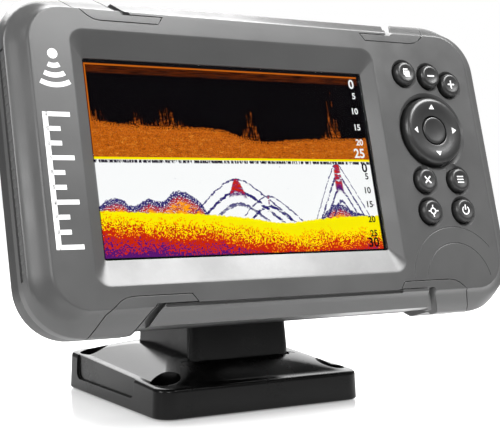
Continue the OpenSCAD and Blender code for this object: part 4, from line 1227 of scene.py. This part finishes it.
# %% Where a point lies on the picture
tree, shader, material = finish_shader("lcd", Roughness=0.5, Specular_IOR_Level=0.0)
upright_place = tree.node("ShaderNodeMapping", vector_type="TEXTURE")
tree.feed(upright_place.inputs["Vector"], tree.place())
upright_place.inputs["Location"].default_value = HEAD_AT
upright_place.inputs["Rotation"].default_value = (math.pi / 2 - LEAN, 0, 0)
split = tree.node("ShaderNodeSeparateXYZ")
tree.feed(split.inputs[0], upright_place.outputs[0])
across = tree.math("MULTIPLY_ADD", split.outputs["X"], 1000 / PICTURE[0], 0.5 - SCREEN_X / PICTURE[0])
up = tree.math("MULTIPLY_ADD", split.outputs["Y"], 1000 / PICTURE[1], 0.5)
flat = tree.node("ShaderNodeCombineXYZ")
tree.feed(flat.inputs[0], across)
tree.feed(flat.inputs[1], up)
flat = flat.outputs[0]


def profile(points):
    """Height of a layer's edge over the width of the picture."""
    curve = tree.node("ShaderNodeFloatCurve")
    line = curve.mapping.curves[0]
    line.points[0].location = points[0]
    line.points[1].location = points[-1]
    for point in points[1:-1]:
        line.points.new(*point)
    curve.mapping.update()
    tree.feed(curve.inputs["Value"], across)
    return curve.outputs[0]


def below(edge, soft=0.004):
    """1 under an edge and 0 above it."""
    return tree.ramp(minus(edge, up), -soft, soft)


def both(a, b):
    return tree.math("MULTIPLY", a, b)


def plus(a, b):
    return tree.math("ADD", a, b)


def minus(a, b):
    return tree.math("SUBTRACT", a, b)


def swing(noise, amount):
    """Turns a noise round one half into a swing round zero."""
    return both(minus(noise, 0.5), amount)


def paint(picture, mask, colour):
    return tree.mix(mask, picture, colour)


BLACK, WHITE = (0.001, 0.0006, 0.001, 1), (1.0, 1.0, 1.0, 1)
ORANGE, AMBER, BROWN = (0.56, 0.125, 0.006, 1), (0.80, 0.30, 0.03, 1), (0.14, 0.022, 0.002, 1)
YELLOW, GOLD, RED = (1.0, 0.86, 0.0, 1), (1.0, 0.36, 0.0, 1), (0.60, 0.02, 0.004, 1)
PURPLE, NAVY = (0.10, 0.008, 0.16, 1), (0.02, 0.012, 0.16, 1)
streaks = tree.noise(tree.scaled(flat, (130, 16, 1)), 1.0, 4.0, 0.65)
drift = tree.noise(tree.scaled(flat, (34, 60, 1)), 1.0, 5.0, 0.7)
speckle = tree.noise(tree.scaled(flat, (230, 150, 1)), 1.0, 2.0, 0.6)
cell = tree.node("ShaderNodeVectorMath", operation="SNAP")
tree.feed(cell.inputs[0], flat)
cell.inputs[1].default_value = (1 / 300, 1 / 180, 1)
scatter = tree.node("ShaderNodeTexWhiteNoise", noise_dimensions="3D")
tree.feed(scatter.inputs["Vector"], cell.outputs[0])
grains = scatter.outputs["Value"]
swell = tree.noise(tree.scaled(flat, (9, 6, 1)), 1.0, 3.0, 0.55)
specks = tree.noise(tree.scaled(flat, (60, 38, 1)), 1.0, 3.0, 0.6)
jitter = swing(tree.noise(tree.scaled(flat, (70, 0, 1)), 1.0, 3.0), 0.03)

# %% Upper pane: a strong echo from a hard bottom
bottom = plus(jitter, profile([
    (0, 0.69), (0.12, 0.668), (0.25, 0.66), (0.45, 0.648), (0.53, 0.605), (0.61, 0.59), (0.69, 0.603),
    (0.86, 0.615), (1, 0.62)]))
growth = profile([
    (0, 0.02), (0.03, 0.07), (0.06, 0.015), (0.13, 0.03), (0.16, 0.10), (0.19, 0.02), (0.25, 0.11),
    (0.3, 0.05), (0.34, 0.01), (0.5, 0.01), (0.56, 0.17), (0.59, 0.01), (0.8, 0.01), (0.85, 0.10),
    (0.88, 0.30), (0.9, 0.02), (1, 0.01)])
stems = tree.ramp(tree.noise(tree.scaled(flat, (150, 3, 1)), 1.0, 2.0, 0.6), 0.40, 0.62)
growth = both(growth, tree.math("MULTIPLY_ADD", stems, 0.9, 0.1))
weeds = both(tree.ramp(streaks, 0.42, 0.52), tree.ramp(speckle, 0.40, 0.52))
brush = both(below(plus(bottom, growth), 0.01), weeds)
upper = paint(BLACK, brush, BROWN)
upper = paint(upper, both(brush, tree.ramp(drift, 0.45, 0.6)), ORANGE)
upper = paint(upper, both(below(plus(bottom, 0.014)), tree.ramp(speckle, 0.40, 0.55)), ORANGE)
ground = tree.mix(tree.ramp(drift, 0.26, 0.48), BROWN, ORANGE)
ground = tree.mix(both(tree.ramp(drift, 0.52, 0.66), tree.ramp(speckle, 0.35, 0.6)), ground, AMBER)
ground = tree.mix(both(tree.ramp(grains, 0.6, 0.8), 0.45), ground, BROWN)
upper = paint(upper, below(bottom), ground)
surface_band = both(tree.ramp(up, 0.944, 0.956), 0.7)
ripples = tree.ramp(tree.noise(tree.scaled(flat, (14, 190, 1)), 1.0, 3.0), 0.35, 0.6)
upper = paint(upper, both(surface_band, ripples), BROWN)
frame_mask = tree.math("MAXIMUM", tree.ramp(up, 0.989, 0.991), tree.ramp(across, 0.0055, 0.0045))
upper = paint(upper, frame_mask, ORANGE)

# %% Lower pane: the same water, drawn dark on white
bottom = plus(jitter, profile([
    (0, 0.238), (0.15, 0.225), (0.33, 0.213), (0.5, 0.188), (0.63, 0.158), (0.74, 0.173), (0.86, 0.185),
    (1, 0.187)]))
humps = plus(jitter, profile([
    (0, 0.25), (0.06, 0.29), (0.11, 0.25), (0.16, 0.285), (0.2, 0.27), (0.26, 0.325), (0.33, 0.27),
    (0.37, 0.19), (0.7, 0.1), (0.77, 0.17), (0.84, 0.245), (0.91, 0.2), (1, 0.17)]))
above_bottom = minus(up, bottom)
lower = paint(WHITE, both(tree.ramp(specks, 0.70, 0.74), tree.ramp(speckle, 0.4, 0.5)), NAVY)
lower = paint(lower, both(below(plus(humps, both(specks, 0.02))), tree.ramp(speckle, 0.36, 0.46)), NAVY)
lower = paint(lower, both(below(minus(humps, 0.022), 0.012), tree.ramp(speckle, 0.4, 0.52)), RED)
lower = paint(lower, both(below(minus(humps, 0.045), 0.01), tree.ramp(drift, 0.42, 0.55)), GOLD)


def nested_arcs(picture, centre, top, slope, blunt, spacing, reach, core, widening):
    """Echo arches under each other, blue at their flanks and red at their crests."""
    aside = tree.math("ABSOLUTE", minus(across, centre))
    bent = minus(tree.math("SQRT", tree.math("MULTIPLY_ADD", aside, aside, blunt * blunt)), blunt)
    gap = minus(tree.math("MULTIPLY_ADD", bent, -slope, top), up)
    gap = plus(gap, swing(specks, 0.035))
    ridge = tree.math("PINGPONG", gap, spacing)
    clear = tree.ramp(above_bottom, 0, 0.005)
    line = both(tree.ramp(gap, -0.003, 0.002), tree.ramp(gap, reach, reach * 0.6))
    line = both(tree.ramp(ridge, spacing * 0.34, spacing * 0.2), line)
    picture = paint(picture, both(line, both(tree.ramp(drift, 0.40, 0.47), clear)), NAVY)
    flank = tree.math("MULTIPLY_ADD", gap, -widening, aside)
    crest = both(tree.ramp(flank, core, core * 0.5), both(tree.ramp(gap, 0.0, 0.01), clear))
    for far, near, thin, thick, colour in ((0.5, 0.4, 0.36, 0.46, PURPLE), (0.42, 0.3, 0.44, 0.52, RED)):
        part = both(crest, tree.ramp(gap, reach * far, reach * near))
        picture = paint(picture, both(part, tree.ramp(drift, thin, thick)), colour)
    return picture


lower = nested_arcs(lower, 0.47, 0.40, 1.5, 0.05, 0.034, 0.2, 0.008, 0.3)
lower = nested_arcs(lower, 0.58, 0.31, 1.5, 0.03, 0.03, 0.12, 0.003, 0.0)
lower = nested_arcs(lower, 0.86, 0.492, 3.2, 0.012, 0.036, 0.34, 0.014, 0.03)
mixed = plus(minus(bottom, up), swing(grains, 0.10))
mixed = plus(mixed, swing(swell, 0.12))
mixed = plus(mixed, tree.math("MULTIPLY_ADD", across, -0.06, 0.02))
ground = tree.mix(tree.ramp(mixed, 0.072, 0.078), YELLOW, GOLD)
ground = tree.mix(tree.ramp(mixed, 0.098, 0.104), ground, RED)
ground = tree.mix(tree.ramp(mixed, 0.185, 0.192), ground, PURPLE)
lower = paint(lower, below(bottom), ground)
lower = paint(lower, both(both(tree.ramp(up, 0.478, 0.486), tree.ramp(up, 0.4985, 0.4965)),
                          tree.ramp(streaks, 0.42, 0.5)), (0.01, 0.005, 0.02, 1))

# %% The two panes and the line between them
picture = tree.mix(tree.ramp(up, 0.5045, 0.5055), lower, upper)
picture = paint(picture, both(tree.ramp(up, 0.498, 0.4995), tree.ramp(up, 0.512, 0.5105)), YELLOW)
inside = both(both(tree.ramp(across, 0.0, 0.002), tree.ramp(across, 1.0, 0.998)),
              both(tree.ramp(up, 0.0, 0.003), tree.ramp(up, 1.0, 0.997)))
picture = paint((0.004, 0.004, 0.005, 1), inside, picture)
tree.feed(shader.inputs["Base Color"], (0.001, 0.001, 0.0012, 1))
tree.feed(shader.inputs["Emission Color"], picture)
shader.inputs["Emission Strength"].default_value = 1.0
finishes["lcd"] = material

# %% Figures glow too
for name, colour in (("figures_upper", (0.95, 0.95, 0.95, 1)), ("figures_lower", (0.004, 0.004, 0.006, 1))):
    tree, shader, material = finish_shader(name, Emission_Strength=1.0, Roughness=0.5, Specular_IOR_Level=0.0)
    shade = tree.noise(tree.place(), 900, 2.0)
    faded = tuple(c * 0.94 for c in colour[:3]) + (1,)
    tree.feed(shader.inputs["Base Color"], (0.001, 0.001, 0.001, 1))
    tree.feed(shader.inputs["Emission Color"], tree.mix(shade, colour, faded))
    finishes[name] = material

# %% Give every piece its finish
slots = {p["node"]: p["material_slot"] for p in frame["record"]["subparts"]}
for ob in bpy.data.objects:
    if ob.type != "MESH" or "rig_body" not in ob:
        continue
    finish = finishes.get(ob.name) or finishes[slots[ob.name] if ob.name in slots else ob["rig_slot"]]
    ob.data.materials.clear()
    ob.data.materials.append(finish)
print("finishes:", len(finishes))

# %% [markdown]
# ## Floor, light and camera
# The sheet's glow is painted light: weak near the object, where it lightens the shadow cast on the sheet, and
# white further away, where the camera sees it as the backdrop.
#
# The object stands on a flat pale sheet under soft boxes: a
# broad one above, one behind that lines the upper edges, a wide low one further back on the right,
# one to the left and a weak one in front.
# The camera stands at the height of the screen and looks at the head from its left.

# %% Flat floor sheet with a painted glow
bpy.ops.object.select_all(action="DESELECT")
bpy.ops.mesh.primitive_plane_add(size=6, location=(0, 0, -0.0005))
floor = bpy.context.object
floor.name = "pale_sheet"
apply_place(floor)
tree, shader, material = finish_shader("pale_sheet", Roughness=0.14, Emission_Strength=1.0)
away = tree.node("ShaderNodeVectorMath", operation="LENGTH")
tree.feed(away.inputs[0], tree.place())
away = tree.ramp(away.outputs["Value"], 0.05, 0.40)
paper = tree.noise(tree.place(), 60, 3.0)
paper = tree.mix(paper, rgba(0.68), rgba(0.72))
# Near the object the sheet is pale; further away it is almost black and only its glow shows.
tree.feed(shader.inputs["Base Color"], tree.mix(away, paper, rgba(0.02)))
seen = tree.node("ShaderNodeLightPath").outputs["Is Camera Ray"]
far_glow = tree.mix(seen, rgba(0.35), rgba(1.0))
# Painted light: a weak glow near the object lightens its cast shadow; the far glow is white to the camera and
# weaker to other rays, where it lights the object from below and around.
tree.feed(shader.inputs["Emission Color"], tree.mix(away, rgba(0.25), far_glow))
floor.data.materials.append(material)

# %% Lights
AIM = Vector((0, -20, 75)) * MM


def soft_box(name, at, width, height, power):
    data = bpy.data.lights.new(name, "AREA")
    data.shape = "RECTANGLE"
    data.size = width
    data.size_y = height
    data.energy = power
    lamp = bpy.data.objects.new(name, data)
    bpy.context.scene.collection.objects.link(lamp)
    lamp.location = at
    lamp.rotation_euler = (AIM - Vector(at)).to_track_quat("-Z", "Y").to_euler()
    return lamp


soft_box("above", (0.42, -0.38, 0.84), 0.8, 0.42, 20)
soft_box("front", (-0.5, -0.85, 0.52), 0.3, 0.3, 2.5)
soft_box("behind", (0.1, 0.65, 0.75), 0.9, 0.5, 9)
soft_box("backdrop", (0.55, 1.0, 0.42), 1.2, 0.7, 7)
soft_box("left", (-0.9, -0.2, 0.55), 0.3, 0.6, 8)
world = bpy.data.worlds.new("studio")
bpy.context.scene.world = world
world.use_nodes = True
sky = Tree(world.node_tree)
background = world.node_tree.nodes["Background"]
background.inputs["Color"].default_value = (1, 1, 1, 1)
seen = sky.node("ShaderNodeLightPath").outputs["Is Camera Ray"]
SKY_LIGHT, SKY_SEEN = 0.28, 1.0
sky.feed(background.inputs["Strength"], sky.math("MULTIPLY_ADD", seen, SKY_SEEN - SKY_LIGHT, SKY_LIGHT))

# %% Camera
CAMERA_AT = (-0.2178, -0.3957, 0.0807)
LOOKS_DOWN, LOOKS_RIGHT = 1.66, 30.8  # degrees
camera_data = bpy.data.cameras.new("camera")
camera = bpy.data.objects.new("camera", camera_data)
bpy.context.scene.collection.objects.link(camera)
camera.location = CAMERA_AT
camera.rotation_euler = (math.radians(90 - LOOKS_DOWN), 0, math.radians(-LOOKS_RIGHT))
camera_data.lens = 84.97
camera_data.sensor_width = 36
bpy.context.scene.camera = camera
bpy.context.scene.view_settings.view_transform = "Standard"
